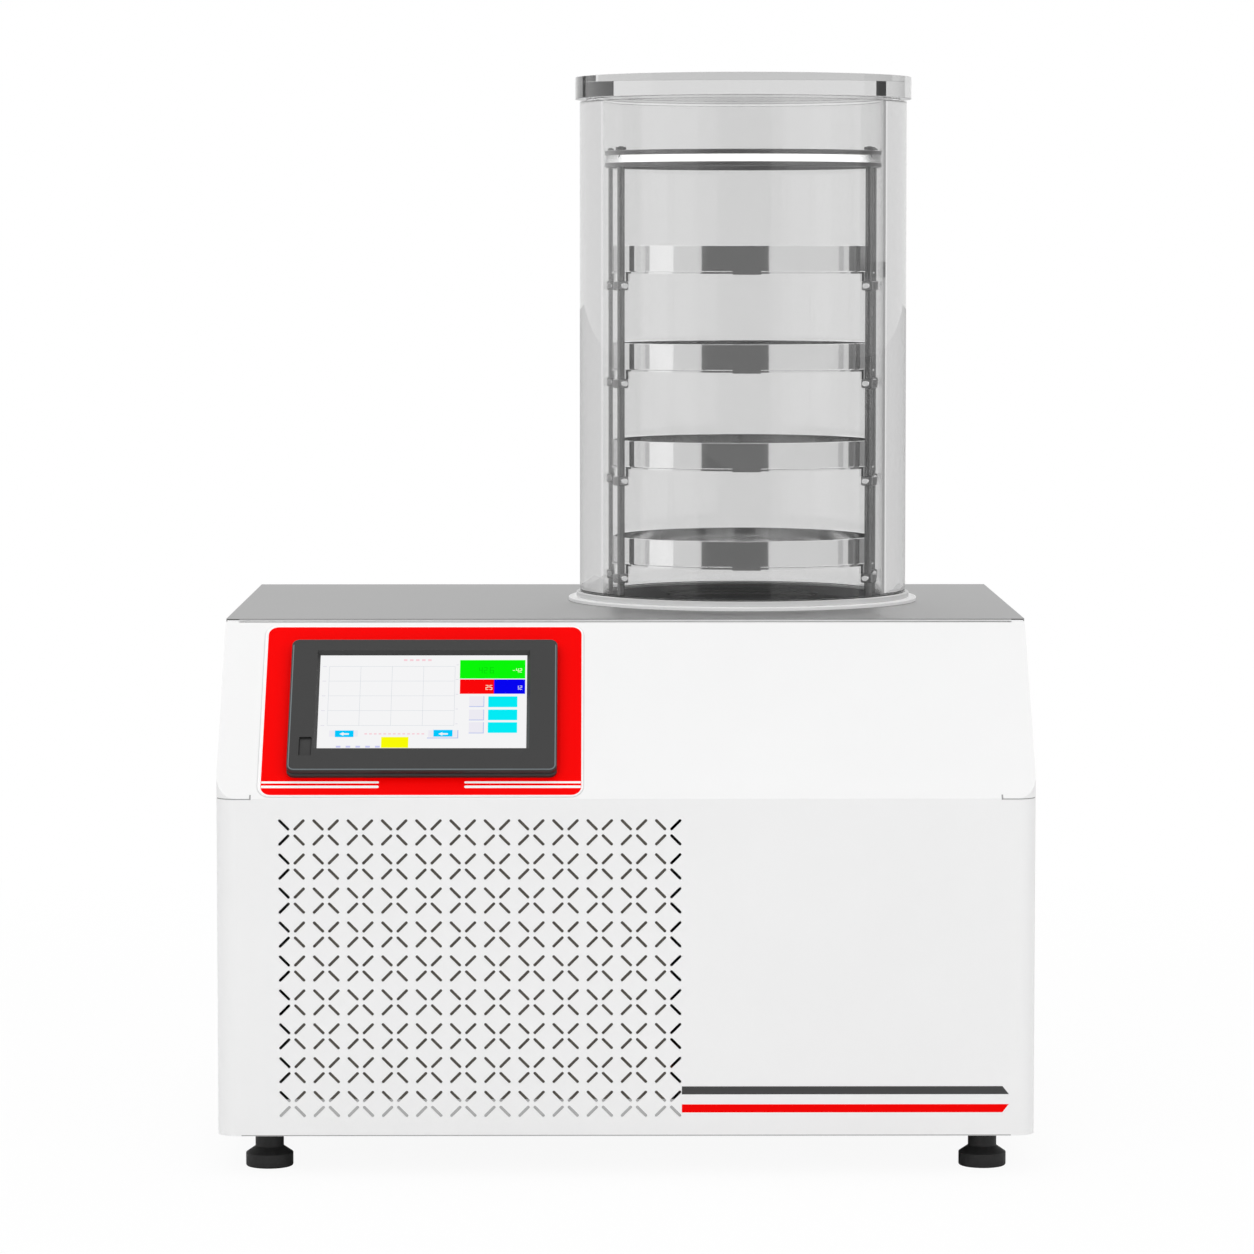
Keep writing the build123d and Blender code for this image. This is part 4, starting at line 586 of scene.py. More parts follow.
def build_world():
    """White to the camera and through glass, and a softer level for light and reflections."""
    world = bpy.data.worlds.new("studio")
    bpy.context.scene.world = world
    world.use_nodes = True
    tree = world.node_tree
    ambient = tree.nodes["Background"]
    ambient.inputs["Color"].default_value = (1, 1, 1, 1)
    ambient.inputs["Strength"].default_value = 0.60
    white = add_node(tree, "ShaderNodeBackground", {"Color": (1, 1, 1, 1), "Strength": 1.0})
    path = add_node(tree, "ShaderNodeLightPath").outputs
    through = either(tree, path["Is Transmission Ray"], path["Is Glossy Ray"])
    seen = either(tree, path["Is Camera Ray"], through)
    tree.links.new(mixed(tree, seen, ambient, white), tree.nodes["World Output"].inputs["Surface"])


LAMP_TARGET = Vector((0, 0, 0.35))
LAMPS = (
    ("key", (-1.7, -2.6, 2.4), (2.6, 2.0), 22),
    ("fill", (2.2, -2.4, 1.6), (2.2, 2.2), 13),
    ("top", (0, 0.2, 3.0), (3.0, 3.0), 26),
)
FLOOR = ((-30, -12), (30, 60))
CARD_HIGH = 1.6
CARDS = (
    ("card_dark_camera", -36.2, 20.0, 0.19),
    ("card_bright_left", -86.0, -61.7, 1.40),
    ("card_soft_left", -91.0, -86.0, 0.75),
    ("card_soft_right", 85.5, 91.5, 0.70),
    ("card_dark_right", 98.0, 112.0, 0.20),
    ("card_dim_right", 112.0, 131.0, 0.36),
    ("card_wall_right", 133.0, 182.0, 0.80),
    ("card_wall_left", -178.0, -133.0, 0.80),
)
LID_CARDS = (
    ("card_lid_right", 103.0, 142.5, 0.07),
    ("card_lid_edge", 88.0, 103.0, 0.30),
    ("card_lid_left", -144.0, -137.8, 0.07),
)
LID_CARD_LOW = 0.935
LID_CARD_HIGH = 1.25


def build_stage():
    """World, floor, reflection cards and lamps."""
    build_world()
    builder = bmesh.new()
    builder.faces.new([builder.verts.new((x, y, 0)) for x, y in corners_of(*FLOOR)])
    make_object("floor", builder, floor_material(), stage=True)
    for name, start, end, level in CARDS:
        studio_card(name, start, end, level, 0.0, CARD_HIGH)
    for name, start, end, level in LID_CARDS:
        studio_card(name, start, end, level, LID_CARD_LOW, LID_CARD_HIGH, mirrored=False)
    studio_card("card_lid_right_low", 103.0, 131.0, 0.07, 0.637, 0.663, radius=4.5)
    studio_card("card_overhead", -180.0, 180.0, 2.1, CARD_HIGH, 4.8)
    for name, place, size, power in LAMPS:
        lamp = bpy.data.lights.new(name, "AREA")
        lamp.shape = "RECTANGLE"
        lamp.size, lamp.size_y = size
        lamp.energy = power
        thing = aimed(name, lamp, place, LAMP_TARGET - Vector(place))
        hide_from(thing, "camera", "glossy", "transmission")


def build_camera():
    """Camera at the viewing angle of the front view."""
    lens = bpy.data.cameras.new("camera")
    lens.sensor_width = SENSOR_WIDTH
    lens.lens = SENSOR_WIDTH * FOCAL_SHARE
    lens.clip_end = 200
    bpy.context.scene.camera = aimed("camera", lens, EYE, AIM)


# ---------- chamber
def turned(low, high):
    """Radius, foot and head of an upright round box, in millimetres."""
    return (high.x - low.x) / 2 / MM, low.z / MM, high.z / MM


TUBE_WALL = 18.0
TUBE_R, TUBE_FOOT, TUBE_HEAD = turned(TUBE_LOW, TUBE_HIGH)
TUBE_BORE = TUBE_R - TUBE_WALL
LID_R, _, LID_HEAD = turned(*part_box("chamber_lid"))
LID_SEAL_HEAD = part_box("lid_gasket")[1].z / MM
FLANGE_R, FLANGE_FOOT, FLANGE_HEAD = turned(*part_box("chamber_flange"))
SEAT_R, SEAT_FOOT, SEAT_HEAD = turned(*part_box("chamber_seat_ring"))
HOOP_R, HOOP_FOOT, HOOP_HEAD = turned(*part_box("rack_top_ring"))


def build_chamber():
    """Turned pieces of the chamber, with the small rounded edges of the real ones."""
    tube = (TUBE_BORE, TUBE_FOOT), (TUBE_R, TUBE_FOOT), (TUBE_R, TUBE_HEAD), (TUBE_BORE, TUBE_HEAD)
    lathe("acrylic_tube", tube, CLEAR, ("chamber_tube",), 0.2)
    lid = (0, LID_SEAL_HEAD), (LID_R, LID_SEAL_HEAD, 0.25), (LID_R, LID_HEAD, 0.12), (0, LID_HEAD)
    lathe("acrylic_lid", lid, LID_CLEAR, ("chamber_lid",), 0.15)


POST_CENTRE_R = 106.7
POST_ANGLES = (-31.6, 1.2, 178.8, 211.6)
POST_R = 2.2
POST_STUD_R = 1.5
CLAMP_SIZE = 7.4
CLAMP_HEIGHT = 7.0
SHELF_SHEET = 1.3
TAB_HEIGHT = 6.0
SCREW_R = 2.3
SCREW_HEAD = 1.6
ROD_SEGMENTS = 32
HOOP_WIDTH = 6.0
HOOP_WEB = 1.6
HOOP_LIP = 3.4
SEAT_BORE = 114.8
SPIGOT_R = 114.5
FLANGE_BORE = 100.0
FLANGE_STEP = 3.6
GROOVE_INNER = 118.0
GROOVE_OUTER = 124.0
GROOVE_DEPTH = 2.0
TRAY_SHEET = 1.0


def build_rack():
    """Posts with their clamps and screws, and the hoop that ties them at the top."""
    _, post_foot, post_head = turned(*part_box("rack_posts"))
    floors = [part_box(node)[0].z / MM for node in TRAYS]
    blocks, screws = bmesh.new(), bmesh.new()
    for number, angle in enumerate(POST_ANGLES, 1):
        out = Vector((math.cos(math.radians(angle)), math.sin(math.radians(angle)), 0))
        place = CHAMBER + out * POST_CENTRE_R * MM
        profile = [(0, post_foot), (POST_R, post_foot), (POST_R, HOOP_FOOT)]
        profile += [(POST_STUD_R, HOOP_FOOT), (POST_STUD_R, post_head), (0, post_head)]
        name = f"rack_rod_{number}"
        lathe(name, profile, ROD_STEEL, ("rack_posts",), 0.3, ROD_SEGMENTS, place)
        for floor in floors:
            top = floor - SHELF_SHEET - TAB_HEIGHT
            block(blocks, place + raised(top - CLAMP_HEIGHT), out, CLAMP_SIZE, CLAMP_HEIGHT)
            for way in (1, -1):
                side = Vector((-out.y, out.x, 0)) * way
                face = place + side * (CLAMP_SIZE / 2) * MM + raised(top - CLAMP_HEIGHT / 2)
                disc(screws, face, side, SCREW_R, SCREW_HEAD)
    make_object("rack_clamps", blocks, CLAMP_STEEL, replace=("rack_posts",))
    make_object("rack_clamp_screws", screws, TRAY_STEEL, replace=("rack_posts",))
    inner, web = HOOP_R - HOOP_WIDTH, HOOP_R - HOOP_WEB
    channel = (
        (inner, HOOP_FOOT),
        (HOOP_R, HOOP_FOOT, 0.8),
        (HOOP_R, HOOP_FOOT + HOOP_LIP, 0.5),
        (web, HOOP_FOOT + HOOP_LIP),
        (web, HOOP_HEAD - HOOP_LIP),
        (HOOP_R, HOOP_HEAD - HOOP_LIP, 0.5),
        (HOOP_R, HOOP_HEAD, 0.8),
        (inner, HOOP_HEAD),
    )
    lathe("hoop_channel", channel, DARK_STEEL, ("rack_top_ring",), 0.3)
    low, high = HOOP_FOOT + HOOP_LIP + 0.05, HOOP_HEAD - HOOP_LIP - 0.05
    band = (web + 0.05, low), (HOOP_R - 0.25, low), (web + 0.15, high), (web + 0.05, high)
    lathe("hoop_band", band, HOOP_STEEL, ("rack_top_ring",), 0.0)


def build_base_rings():
    """White seat ring on the deck and the turned steel flange that stands on it."""
    seat = (
        (SEAT_BORE, SEAT_FOOT),
        (SEAT_R, SEAT_FOOT, 0.3),
        (SEAT_R, SEAT_HEAD, 0.9),
        (SEAT_BORE, SEAT_HEAD),
    )
    lathe("seat_ring_turned", seat, SEAT_WHITE, ("chamber_seat_ring",), 0.3)
    flange = (
        (FLANGE_BORE, FLANGE_FOOT),
        (SPIGOT_R, FLANGE_FOOT),
        (SPIGOT_R, SEAT_HEAD),
        (FLANGE_R, SEAT_HEAD, 0.4),
        (FLANGE_R, FLANGE_HEAD, 0.6),
        (GROOVE_OUTER, FLANGE_HEAD),
        (GROOVE_OUTER, FLANGE_HEAD - GROOVE_DEPTH),
        (GROOVE_INNER, FLANGE_HEAD - GROOVE_DEPTH),
        (GROOVE_INNER, FLANGE_HEAD),
        (TUBE_BORE, FLANGE_HEAD),
        (TUBE_BORE, FLANGE_HEAD - FLANGE_STEP),
        (FLANGE_BORE, FLANGE_HEAD - FLANGE_STEP),
    )
    lathe("flange_turned", flange, FLANGE_STEEL, ("chamber_flange",), 0.15)


def build_trays():
    """Pressed trays with a rolled lip and a rounded heel, fine enough for true reflections."""
    for node in TRAYS:
        radius, foot, rim = turned(*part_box(node))
        profile = (
            (0, foot),
            (radius, foot, 0.7),
            (radius, rim, 0.35),
            (radius - TRAY_SHEET, rim, 0.35),
            (radius - TRAY_SHEET, foot + TRAY_SHEET, 1.8),
            (0, foot + TRAY_SHEET),
        )
        lathe(f"{node}_pressed", profile, TRAY_STEEL, (node,), 0.0)


# ---------- control panel
DISPLAY = centred((-150.25, 87.0), (154.6, 88.0))
OVERLAY_SHEET = 0.8
BEZEL_HEIGHT = 7.0
PANEL_FACE = OVERLAY_SHEET + BEZEL_HEIGHT


def slope_patch(name, outlines, lift, thickness, material):
    """Flat pieces lying on the slope, from outlines in (x, s)."""
    builder = bmesh.new()
    for outline in outlines:
        flat_shape(builder, [on_slope(p.x, p.y, lift) for p in outline], thickness, SLOPE_NORMAL)
    make_object(name, builder, material)


def capped_bar(start, end, middle, height, capped_end):
    """Bar across the slope with one half-round end, at its left or its right."""
    low, high = middle - height / 2, middle + height / 2
    right, left = [height / 2 * 0.98 if capped_end == way else 0.0 for way in ("right", "left")]
    corners = (start, low, left), (end, low, right), (end, high, right), (start, high, left)
    return rounded(corners, 0.0, 5)


BEZEL = centred((-149.75, 82.5), (198.0, 125.0))
BEZEL_R = 5.5
BEZEL_SHARP = 35
BEZEL_FILLET = 1.0
OPENING = ((-229.5, 41.0), (-71.1, 134.1))
OPENING_BEVEL = 2.3
SCREEN_DEPTH = 3.0
BEZEL_SKIRT = 1.2
USB_PORT = centred((-235.6, 43.0), (9.2, 17.4))
USB_PORT_R = 0.9
USB_DEPTH = 2.6
FILM = ((-269.5, 1.7), (-31.5, 164.3))
FILM_R = 9.5
RED_FIELD = ((-267.2, 2.9), (-32.9, 162.3))
RED_FIELD_R = 7.5
STRIPES = ((14.5, 1.9), (10.4, 2.3))
STRIPE_SPANS = ((-266.9, -180.8, "right"), (-118.4, -33.2, "left"))


def slope_loop(builder, low, high, radius, inset, lift):
    """Loop of a rounded rectangle on the slope, pulled in by inset and lifted off the sheet."""
    outline = inset_rectangle(low, high, radius, inset)
    return [builder.verts.new(on_slope(p.x, p.y, lift)) for p in outline]


def build_bezel():
    """Moulded frame with a rounded rim and a bevelled window, and the cover of its service port."""
    low, high = BEZEL
    builder = bmesh.new()
    rim = [(0.0, PANEL_FACE - BEZEL_FILLET - 0.2)]
    for step in range(6):
        turn = math.radians(90 * step / 5)
        drop = BEZEL_FILLET * (1 - math.sin(turn))
        rim.append((BEZEL_FILLET * (1 - math.cos(turn)), PANEL_FACE - drop))
    rim.append((BEZEL_FILLET + 0.2, PANEL_FACE))
    skirt = (low[0], low[1] - BEZEL_SKIRT)
    outer = []
    for foot, lift in ((skirt, 0.0), (skirt, 2.6), (low, 3.0)):
        outer.append(slope_loop(builder, foot, high, BEZEL_R, 0.0, OVERLAY_SHEET + lift))
    outer += [slope_loop(builder, low, high, BEZEL_R, inset, lift) for inset, lift in rim]
    window = (
        (-0.3, PANEL_FACE),
        (0.0, PANEL_FACE),
        (OPENING_BEVEL, PANEL_FACE - SCREEN_DEPTH),
        (OPENING_BEVEL, OVERLAY_SHEET),
    )
    inner = [slope_loop(builder, *OPENING, 0.4, inset, lift) for inset, lift in window]
    bridge(builder, outer + inner + [outer[0]])
    bezel = make_object(
        "bezel_frame", builder, BEZEL_GREY, replace=("hmi_bezel",), smooth=BEZEL_SHARP
    )
    foot = PANEL_FACE - USB_DEPTH
    cutter = stacked(USB_PORT, USB_PORT_R, ((0.0, foot), (0.0, PANEL_FACE + 1.0)))
    carve(bezel, cutter)
    plug = stacked(USB_PORT, USB_PORT_R, ((0.1, foot), (0.1, foot + 1.1), (0.5, foot + 1.3)))
    make_object("usb_cover_plug", plug, BEZEL_GREY, replace=("hmi_usb_cover",))


def stacked(box, radius, levels):
    """Block on the slope from (inset, lift) levels of one rounded rectangle."""
    builder = bmesh.new()
    close_loops(builder, [slope_loop(builder, *box, radius, *level) for level in levels])
    return builder


def build_panel_edges():
    """Painted highlight on the bezel's sides and foot; painted shadow round the overlay film."""
    level = BEZEL[1][1] - BEZEL_R
    outline = []
    for inset in (BEZEL_FILLET - 0.1, BEZEL_FILLET + 0.75):
        loop = inset_rectangle(*BEZEL, BEZEL_R, inset)
        below = [p.y < level - 0.01 for p in loop]
        start = next(i for i in range(len(loop)) if below[i] and not below[i - 1])
        run = [loop[(start + step) % len(loop)] for step in range(sum(below))]
        run = [Vector((run[0].x, level))] + run + [Vector((run[-1].x, level))]
        outline += run if not outline else run[::-1]
    # Painted highlight along the rim fillet of the bezel's sides and foot.
    slope_patch("bezel_edge_painted_highlight", [outline], PANEL_FACE, 0.04, BEZEL_EDGE_HIGHLIGHT)
    # Painted shadow: thin pale grey ring just outside the overlay film.
    builder = bmesh.new()
    section = ((-0.05, 0.0), (-0.05, 0.04), (-0.75, 0.04), (-0.75, 0.0))
    loops = [slope_loop(builder, *FILM, FILM_R, *level) for level in section]
    bridge(builder, loops + [loops[0]])
    make_object("overlay_edge_shadow", builder, FILM_EDGE_SHADOW)


def carve(target, builder):
    """Cuts the shape in builder out of a piece."""
    cutter = bpy.data.objects.new("cutter", finished_mesh("cutter", builder))
    bpy.context.scene.collection.objects.link(cutter)
    modifier = target.modifiers.new("cut", "BOOLEAN")
    modifier.object = cutter
    modifier.solver = "EXACT"
    evaluated = target.evaluated_get(bpy.context.evaluated_depsgraph_get())
    shaped = bpy.data.meshes.new_from_object(evaluated)
    target.modifiers.clear()
    smooth_shade(shaped, BEZEL_SHARP)
    target.data = shaped
    bpy.data.objects.remove(cutter)


def build_overlay():
    """Red field on the white film, which is the node itself, and two pairs of white stripes."""
    red = rectangle(*RED_FIELD, RED_FIELD_R, 10)
    slope_patch("overlay_red_field", [red], OVERLAY_SHEET, 0.10, MEMBRANE_RED)
    stripes = []
    for middle, height in STRIPES:
        for start, end, capped in STRIPE_SPANS:
            stripes.append(capped_bar(start, end, middle, height, capped))
    slope_patch("overlay_stripes", stripes, OVERLAY_SHEET + 0.10, 0.05, PRINT_WHITE)


# Fields of the screen are (left, low, right, high), from the display's low left corner.
SCREEN_WHITE = lit_field("screen white", 244, 244, 245)
SCREEN_FIELDS = {
    "green": (lit_field("screen green", 6, 246, 6), [(104.3, 66.3, 152.9, 84.1)]),
    "red": (lit_field("screen red", 250, 4, 6), [(104.5, 51.7, 129.8, 65.5)]),
    "blue": (lit_field("screen blue", 4, 2, 240), [(129.8, 51.7, 152.9, 65.5)]),
    "cyan": (
        lit_field("screen cyan", 0, 234, 244),
        [(125.7, 39.0, 147.3, 49.3), (125.7, 26.7, 147.3, 36.7), (125.7, 14.7, 147.3, 24.7)],
    ),
    "pale": (
        lit_field("screen pale", 236, 234, 242),
        [(111.7, 39.9, 122.3, 49.3), (111.7, 27.2, 122.3, 36.7), (111.7, 14.9, 122.3, 24.7)],
    ),
    "sky": (
        lit_field("screen sky", 0, 200, 252),
        [(13.3, 10.8, 27.0, 17.0), (85.8, 11.2, 99.8, 17.5)],
    ),
    "yellow": (lit_field("screen yellow", 248, 250, 4), [(47.5, 0.7, 67.5, 10.8)]),
}
BUTTON_BACKS = [(8.2, 10.4, 31.1, 17.0), (81.2, 10.2, 103.6, 17.2)]
GRID_LEFT, GRID_LOW, GRID_RIGHT, GRID_HIGH = 7.3, 21.7, 100.7, 78.0
GRID_STEPS = 4
LINE_HALF = 0.12
TICK_PITCH = 14.07
TICK_HALF = 0.3
TICK_COLUMNS = ((2.4, 5.2, 21.7), (101.6, 103.4, 23.2))
ARROW = (3.4, 13.7), (0.4, 15.4), (0.4, 14.4), (-3.6, 14.4), (-3.6, 13.0), (0.4, 13.0), (0.4, 12.0)
ARROW_MIDDLES = (20.0, 92.8)
FIELD_SHEET = 0.03
SEGMENTS = {"1": "bc", "2": "abged", "4": "fgbc", "5": "afgcd", "6": "afgedc", "-": "g"}


def number_bars(text, left, foot, width, height, stroke, gap):
    """Bars of a plain seven-segment number, set from left to right."""
    bars = []
    middle, head = foot + height / 2, foot + height
    for character in text:
        right = left + width
        places = {
            "a": (left, head - stroke, right, head),
            "g": (left, middle - stroke / 2, right, middle + stroke / 2),
            "d": (left, foot, right, foot + stroke),
            "f": (left, middle, left + stroke, head),
            "b": (right - stroke, middle, right, head),
            "e": (left, foot, left + stroke, middle),
            "c": (right - stroke, foot, right, middle),
        }
        bars += [places[letter] for letter in SEGMENTS[character]]
        left += width + gap
    return bars


def build_screen():
    """Lit display made of flat fields of colour under the bezel's edge."""
    origin_x, origin_s = DISPLAY[0]
    width, length = DISPLAY[1][0] - origin_x, DISPLAY[1][1] - origin_s
    face = PANEL_FACE - SCREEN_DEPTH

    def fields(name, boxes, material, layer, radius=0.0):
        outlines = []
        for left, low, right, high in boxes:
            ends = (origin_x + left, origin_s + low), (origin_x + right, origin_s + high)
            outlines.append(rectangle(*ends, radius, 3))
        slope_patch(name, outlines, face + layer * FIELD_SHEET, FIELD_SHEET, material)

    fields("screen_face", [(0.0, -1.6, width, length + 0.6)], SCREEN_WHITE, 0)
    body = stacked(DISPLAY, 0.3, ((0.0, OVERLAY_SHEET), (0.0, face)))
    make_object("screen_body", body, BLACK_PLASTIC, replace=("hmi_display",))
    lines = []
    for step in range(GRID_STEPS + 1):
        x = GRID_LEFT + (GRID_RIGHT - GRID_LEFT) * step / GRID_STEPS
        s = GRID_LOW + (GRID_HIGH - GRID_LOW) * step / GRID_STEPS
        lines.append((x - LINE_HALF, GRID_LOW, x + LINE_HALF, GRID_HIGH))
        lines.append((GRID_LEFT, s - LINE_HALF, GRID_RIGHT, s + LINE_HALF))
    fields("screen_grid", lines, lit_field("screen grid", 206, 212, 218), 1)
    for key, (material, boxes) in SCREEN_FIELDS.items():
        fields(f"screen_{key}", boxes, material, 1, 0.5 if key in ("cyan", "pale") else 0.0)
    edge = lit_field("screen button edge", 186, 196, 236)
    pale = SCREEN_FIELDS["pale"][0]
    inset = [(a + 0.8, b + 0.8, c - 0.8, d) for a, b, c, d in BUTTON_BACKS]
    fields("screen_button_backs", inset, pale, 0.5)
    edges = []
    for left, low, right, high in SCREEN_FIELDS["pale"][1] + BUTTON_BACKS[1:]:
        edges.append((right - 0.3, low - 0.5, right + 0.5, high))
        edges.append((left, low - 0.7, right + 0.5, low + 0.1))
    fields("screen_button_edges", edges, edge, 1)
    arrows = bmesh.new()
    level = face + 2 * FIELD_SHEET
    for middle in ARROW_MIDDLES:
        outline = [on_slope(origin_x + middle - x, origin_s + y, level) for x, y in ARROW]
        flat_shape(arrows, outline, FIELD_SHEET, SLOPE_NORMAL)
    make_object("screen_arrows", arrows, SCREEN_WHITE)
    figures = number_bars("42", 118.6, 71.4, 2.4, 5.6, 0.35, 1.2)
    figures += number_bars("6", 126.6, 71.4, 2.8, 5.6, 0.4, 1.2)
    fields("screen_figures_green", figures, lit_field("screen dark green", 2, 206, 4), 2)
    figures = number_bars("-42", 143.6, 72.2, 1.8, 3.8, 0.4, 0.7)
    figures += number_bars("25", 123.6, 55.6, 2.0, 4.4, 0.45, 0.9)
    figures += number_bars("12", 146.2, 55.6, 1.8, 3.8, 0.35, 0.8)
    fields("screen_figures_white", figures, lit_field("screen figure", 244, 240, 214), 2)
    ticks = []
    for left, right, first in TICK_COLUMNS:
        for level in (first + TICK_PITCH * k for k in range(5)):
            ticks.append((left, level - TICK_HALF, right, level + TICK_HALF))
    fields("screen_ticks", ticks, lit_field("screen tick", 222, 220, 230), 1)
    notes = [(62.4 + 4.5 * k, 83.2, 65.0 + 4.5 * k, 84.9) for k in range(5)]
    notes += [(35.0 + 3.5 * k, 13.2, 37.0 + 3.5 * k, 14.4) for k in range(13)]
    fields("screen_notes", notes, lit_field("screen note", 246, 206, 214), 1)
    dates = [(14.4 + 7.2 * k, 0.9, 17.8 + 7.2 * k, 2.6) for k in range(5)]
    fields("screen_dates", dates, lit_field("screen date", 198, 200, 240), 1)


# ---------- casing
CASE_HALF = 300.0
CORNER_R = 15.0
CORNER_SLIT = 0.8
RELIEF_X = 274.6
VENT_COLUMNS = 12
VENT_ROWS = 9
VENT_PITCH = 25.0
VENT_CENTRE = (-106.9, 152.3)
VENT_INNER = 2.4
VENT_OUTER = 13.3
VENT_HALF = 1.075
SHEET = 1.5
BAND_START = 40.7
SCREW_PLACES = tuple((x, z) for x in (-290, 290) for z in (44, 214, 385)) + ((0, 388), (0, 38))
REAR_SCREW_R = 3.1
REAR_SCREW_HEAD = 1.5
NOTCH_HALF = 0.65
FOOT_LINE = ((-282, 28.6), (282, 29.3))
FOOT_PAD_HEAD = 10.0
FOOT_NECK_FOOT = 14.8
FOOT_NECK_R = 10.5
FOOT_STUD_R = 5.0
FOOT_NECK_HEAD = 28.4
FOOT_SEGMENTS = 96


def front_patch(name, outline, thickness, material):
    """Flat piece on the upright front, from an outline in (x, z)."""
    builder = bmesh.new()
    flat_shape(builder, [on_front(x, z) for x, z in outline], thickness, AHEAD)
    make_object(name, builder, material)


def build_decals():
    """Two printed bands at the lower right of the front, with slanted ends."""
    for name, material, low, high, foot_end, head_end in (
        ("decal_band_grey", PRINT_GREY, 59.2, 65.1, 280.4, 275.7),
        ("decal_band_red", PRINT_RED, 45.8, 51.8, 275.7, 280.4),
    ):
        outline = (BAND_START, low), (foot_end, low), (head_end, high), (BAND_START, high)
        front_patch(name, outline, 0.05, material)


def build_rear_screws():
    """Pan-head screws holding the rear panel; each cross recess is flat black painted shade."""
    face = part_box("rear_panel")[1].y
    heads, slots = bmesh.new(), bmesh.new()
    for x, z in SCREW_PLACES:
        centre = Vector((x * MM, face, z * MM))
        disc(heads, centre, BACK, REAR_SCREW_R, REAR_SCREW_HEAD, 0.6)
        for half_x, half_z in ((1.7, 0.35), (0.35, 1.7)):
            ends = corners_of((x - half_x, z - half_z), (x + half_x, z + half_z))
            level = face + (REAR_SCREW_HEAD - 0.05) * MM
            outline = [Vector((a * MM, level, b * MM)) for a, b in ends]
            # The cross recess is a thin black sheet on the head: painted shade, not a cut.
            flat_shape(slots, outline, 0.08 + 0.02 * (half_x > half_z), BACK)
    make_object("rear_screw_heads", heads, SCREW_STEEL)
    make_object("rear_screw_recess_shade", slots, BLACK_PLASTIC)


def build_seams():
    """Painted shadow: dark at the deck's front edge, fine on the fold under it, and at the casing
    foot.
    """
    head = math.hypot(SLOPE_RISE, SLOPE_RUN) / MM
    reach = CASE_HALF - 10.0
    fold = rectangle((-reach, head - 1.0), (reach, head - 0.3))
    # Painted shadow of the slit where the fascia meets the deck.
    slope_patch("fascia_fold_painted_shadow", [fold], 0.0, 0.04, PALE_PAINTED_SHADOW)
    # The dark strip is painted shadow under the deck's front edge.
    for name, low, high, material in (
        ("deck_edge_painted_shadow", 0.9, 0.02, DARK_PAINTED_SHADOW),
        ("deck_edge_pale", 2.0, 0.95, PRINT_WHITE),
    ):
        builder = bmesh.new()
        ends = corners_of((DECK_LOW.x + MM, low), (DECK_HIGH.x - MM, high))
        outline = [Vector((x, DECK_LOW.y, DECK_HIGH.z - z * MM)) for x, z in ends]
        flat_shape(builder, outline, 0.05, AHEAD)
        make_object(name, builder, material)
    # Painted shadow: pale grey line along the casing's foot.
    front_patch("casing_foot_painted_shadow", corners_of(*FOOT_LINE), 0.04, PALE_PAINTED_SHADOW)


def build_fold_ends():
    """Fills the fold's end notches, and puts painted shade in them and in the slits round the
    corners.
    """
    filler, shadow = bmesh.new(), bmesh.new()
    fold = FOLD_Z / MM
    turns = [math.radians(90 * step / 12) for step in range(13)]
    radius = CORNER_R - 0.4
    slit = []
    for turn in turns:
        across = CASE_HALF - CORNER_R + radius * math.sin(turn)
        slit.append((across, CORNER_R - radius * math.cos(turn)))
    inner = [(x - math.sin(turn), y + math.cos(turn)) for turn, (x, y) in zip(turns, slit)]
    ring = [(RELIEF_X + 0.6, 0.4)] + slit + inner[::-1] + [(RELIEF_X + 0.6, 1.4)]
    for side in (-1, 1):
        left, right = side * RELIEF_X - NOTCH_HALF, side * RELIEF_X + NOTCH_HALF
        for builder, low, high, place, lift, depth, normal in (
            (filler, fold - 4.05, fold - 0.9, on_front, -0.02, 1.4, BACK),
            (filler, 3.9, 5.8, on_slope, -0.02, 1.4, -SLOPE_NORMAL),
            (shadow, fold - 0.9, fold, on_front, -0.4, 1.0, BACK),
            (shadow, 0.0, 3.9, on_slope, -0.4, 1.0, -SLOPE_NORMAL),
        ):
            outline = [place(x, level, lift) for x, level in corners_of((left, low), (right, high))]
            flat_shape(builder, outline, depth, normal)
        level = (fold - CORNER_SLIT) * MM
        outline = [Vector((side * x * MM, FRONT_Y + y * MM, level)) for x, y in ring]
        flat_shape(shadow, outline, CORNER_SLIT, UP)
    # The shadow pieces are painted shade in the notches and the corner slits.
    make_object("fold_notch_filler", filler, WHITE_COAT)
    make_object("fold_slit_shadow", shadow, PALE_PAINTED_SHADOW)


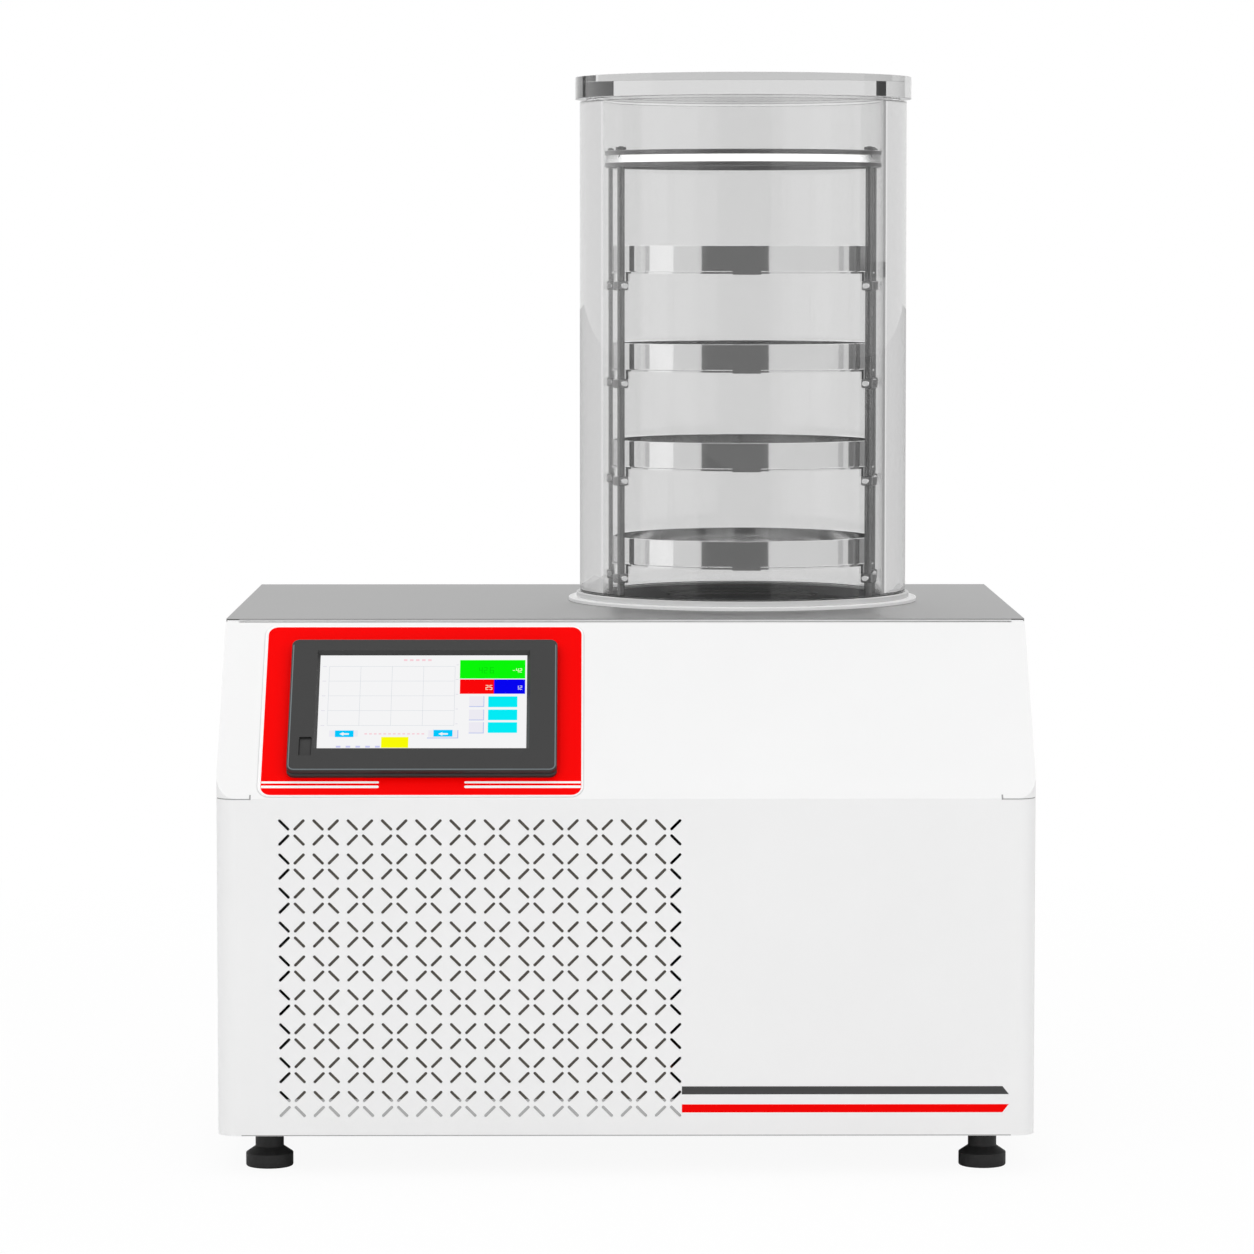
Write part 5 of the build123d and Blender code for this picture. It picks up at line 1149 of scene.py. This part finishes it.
def build_vent_ends():
    """Fills the square corners of the vent slots, which makes their ends round."""
    builder = bmesh.new()
    arc = [math.radians(90 * step / 5) for step in range(6)]
    for column in range(VENT_COLUMNS):
        for row in range(VENT_ROWS):
            right = (column - (VENT_COLUMNS - 1) / 2) * VENT_PITCH
            rise = ((VENT_ROWS - 1) / 2 - row) * VENT_PITCH
            centre = Vector(VENT_CENTRE) + Vector((right, rise))
            for quarter in range(4):
                turn = math.radians(45 + 90 * quarter)
                along = Vector((math.cos(turn), math.sin(turn)))
                across = Vector((-along.y, along.x))
                for end, way in ((VENT_OUTER, along), (VENT_INNER, -along)):
                    tip = centre + along * end
                    middle = tip - way * VENT_HALF
                    for side in (across, -across):
                        outline = [tip + side * VENT_HALF]
                        for turn in arc:
                            spoke = way * math.cos(turn) + side * math.sin(turn)
                            outline.append(middle + spoke * VENT_HALF)
                        flat_shape(builder, [on_front(p.x, p.y) for p in outline], SHEET, BACK)
    make_object("vent_slot_ends", builder, WHITE_COAT)


def build_vent_filter():
    """Dusty filter sheet just behind the vent field."""
    builder = bmesh.new()
    size = ((VENT_COLUMNS - 0.84) * VENT_PITCH, (VENT_ROWS + 0.2) * VENT_PITCH)
    low, high = centred(VENT_CENTRE, size)
    loops = []
    for depth in (SHEET + 1.0, SHEET + 2.2):
        places = [on_front(p.x, p.y, -depth) for p in rectangle(low, high, 4.0)]
        loops.append([builder.verts.new(place) for place in places])
    close_loops(builder, loops)
    make_object("vent_filter", builder, FILTER)


def build_feet():
    """Moulded levelling feet, one on each foot's own body."""
    for node in FEET:
        low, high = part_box(node)
        centre = Vector(((low.x + high.x) / 2, (low.y + high.y) / 2, 0))
        pad, _, head = turned(low, high)
        profile = (
            (0, 0.0),
            (pad, 0.0, 1.4),
            (pad, FOOT_PAD_HEAD, 0.7),
            (FOOT_NECK_R, FOOT_NECK_FOOT, 1.2),
            (FOOT_NECK_R, FOOT_NECK_HEAD, 0.4),
            (FOOT_STUD_R, FOOT_NECK_HEAD),
            (FOOT_STUD_R, head),
            (0, head),
        )
        name = f"{node}_moulded"
        lathe(name, profile, RUBBER, (node,), 0.3, FOOT_SEGMENTS, centre, body=node)


dress_nodes()
build_stage()
build_camera()
build_chamber()
build_rack()
build_base_rings()
build_trays()
build_overlay()
build_bezel()
build_panel_edges()
build_screen()
build_decals()
build_vent_ends()
build_vent_filter()
build_seams()
build_fold_ends()
build_rear_screws()
build_feet()

bpy.context.scene.view_settings.view_transform = "Standard"
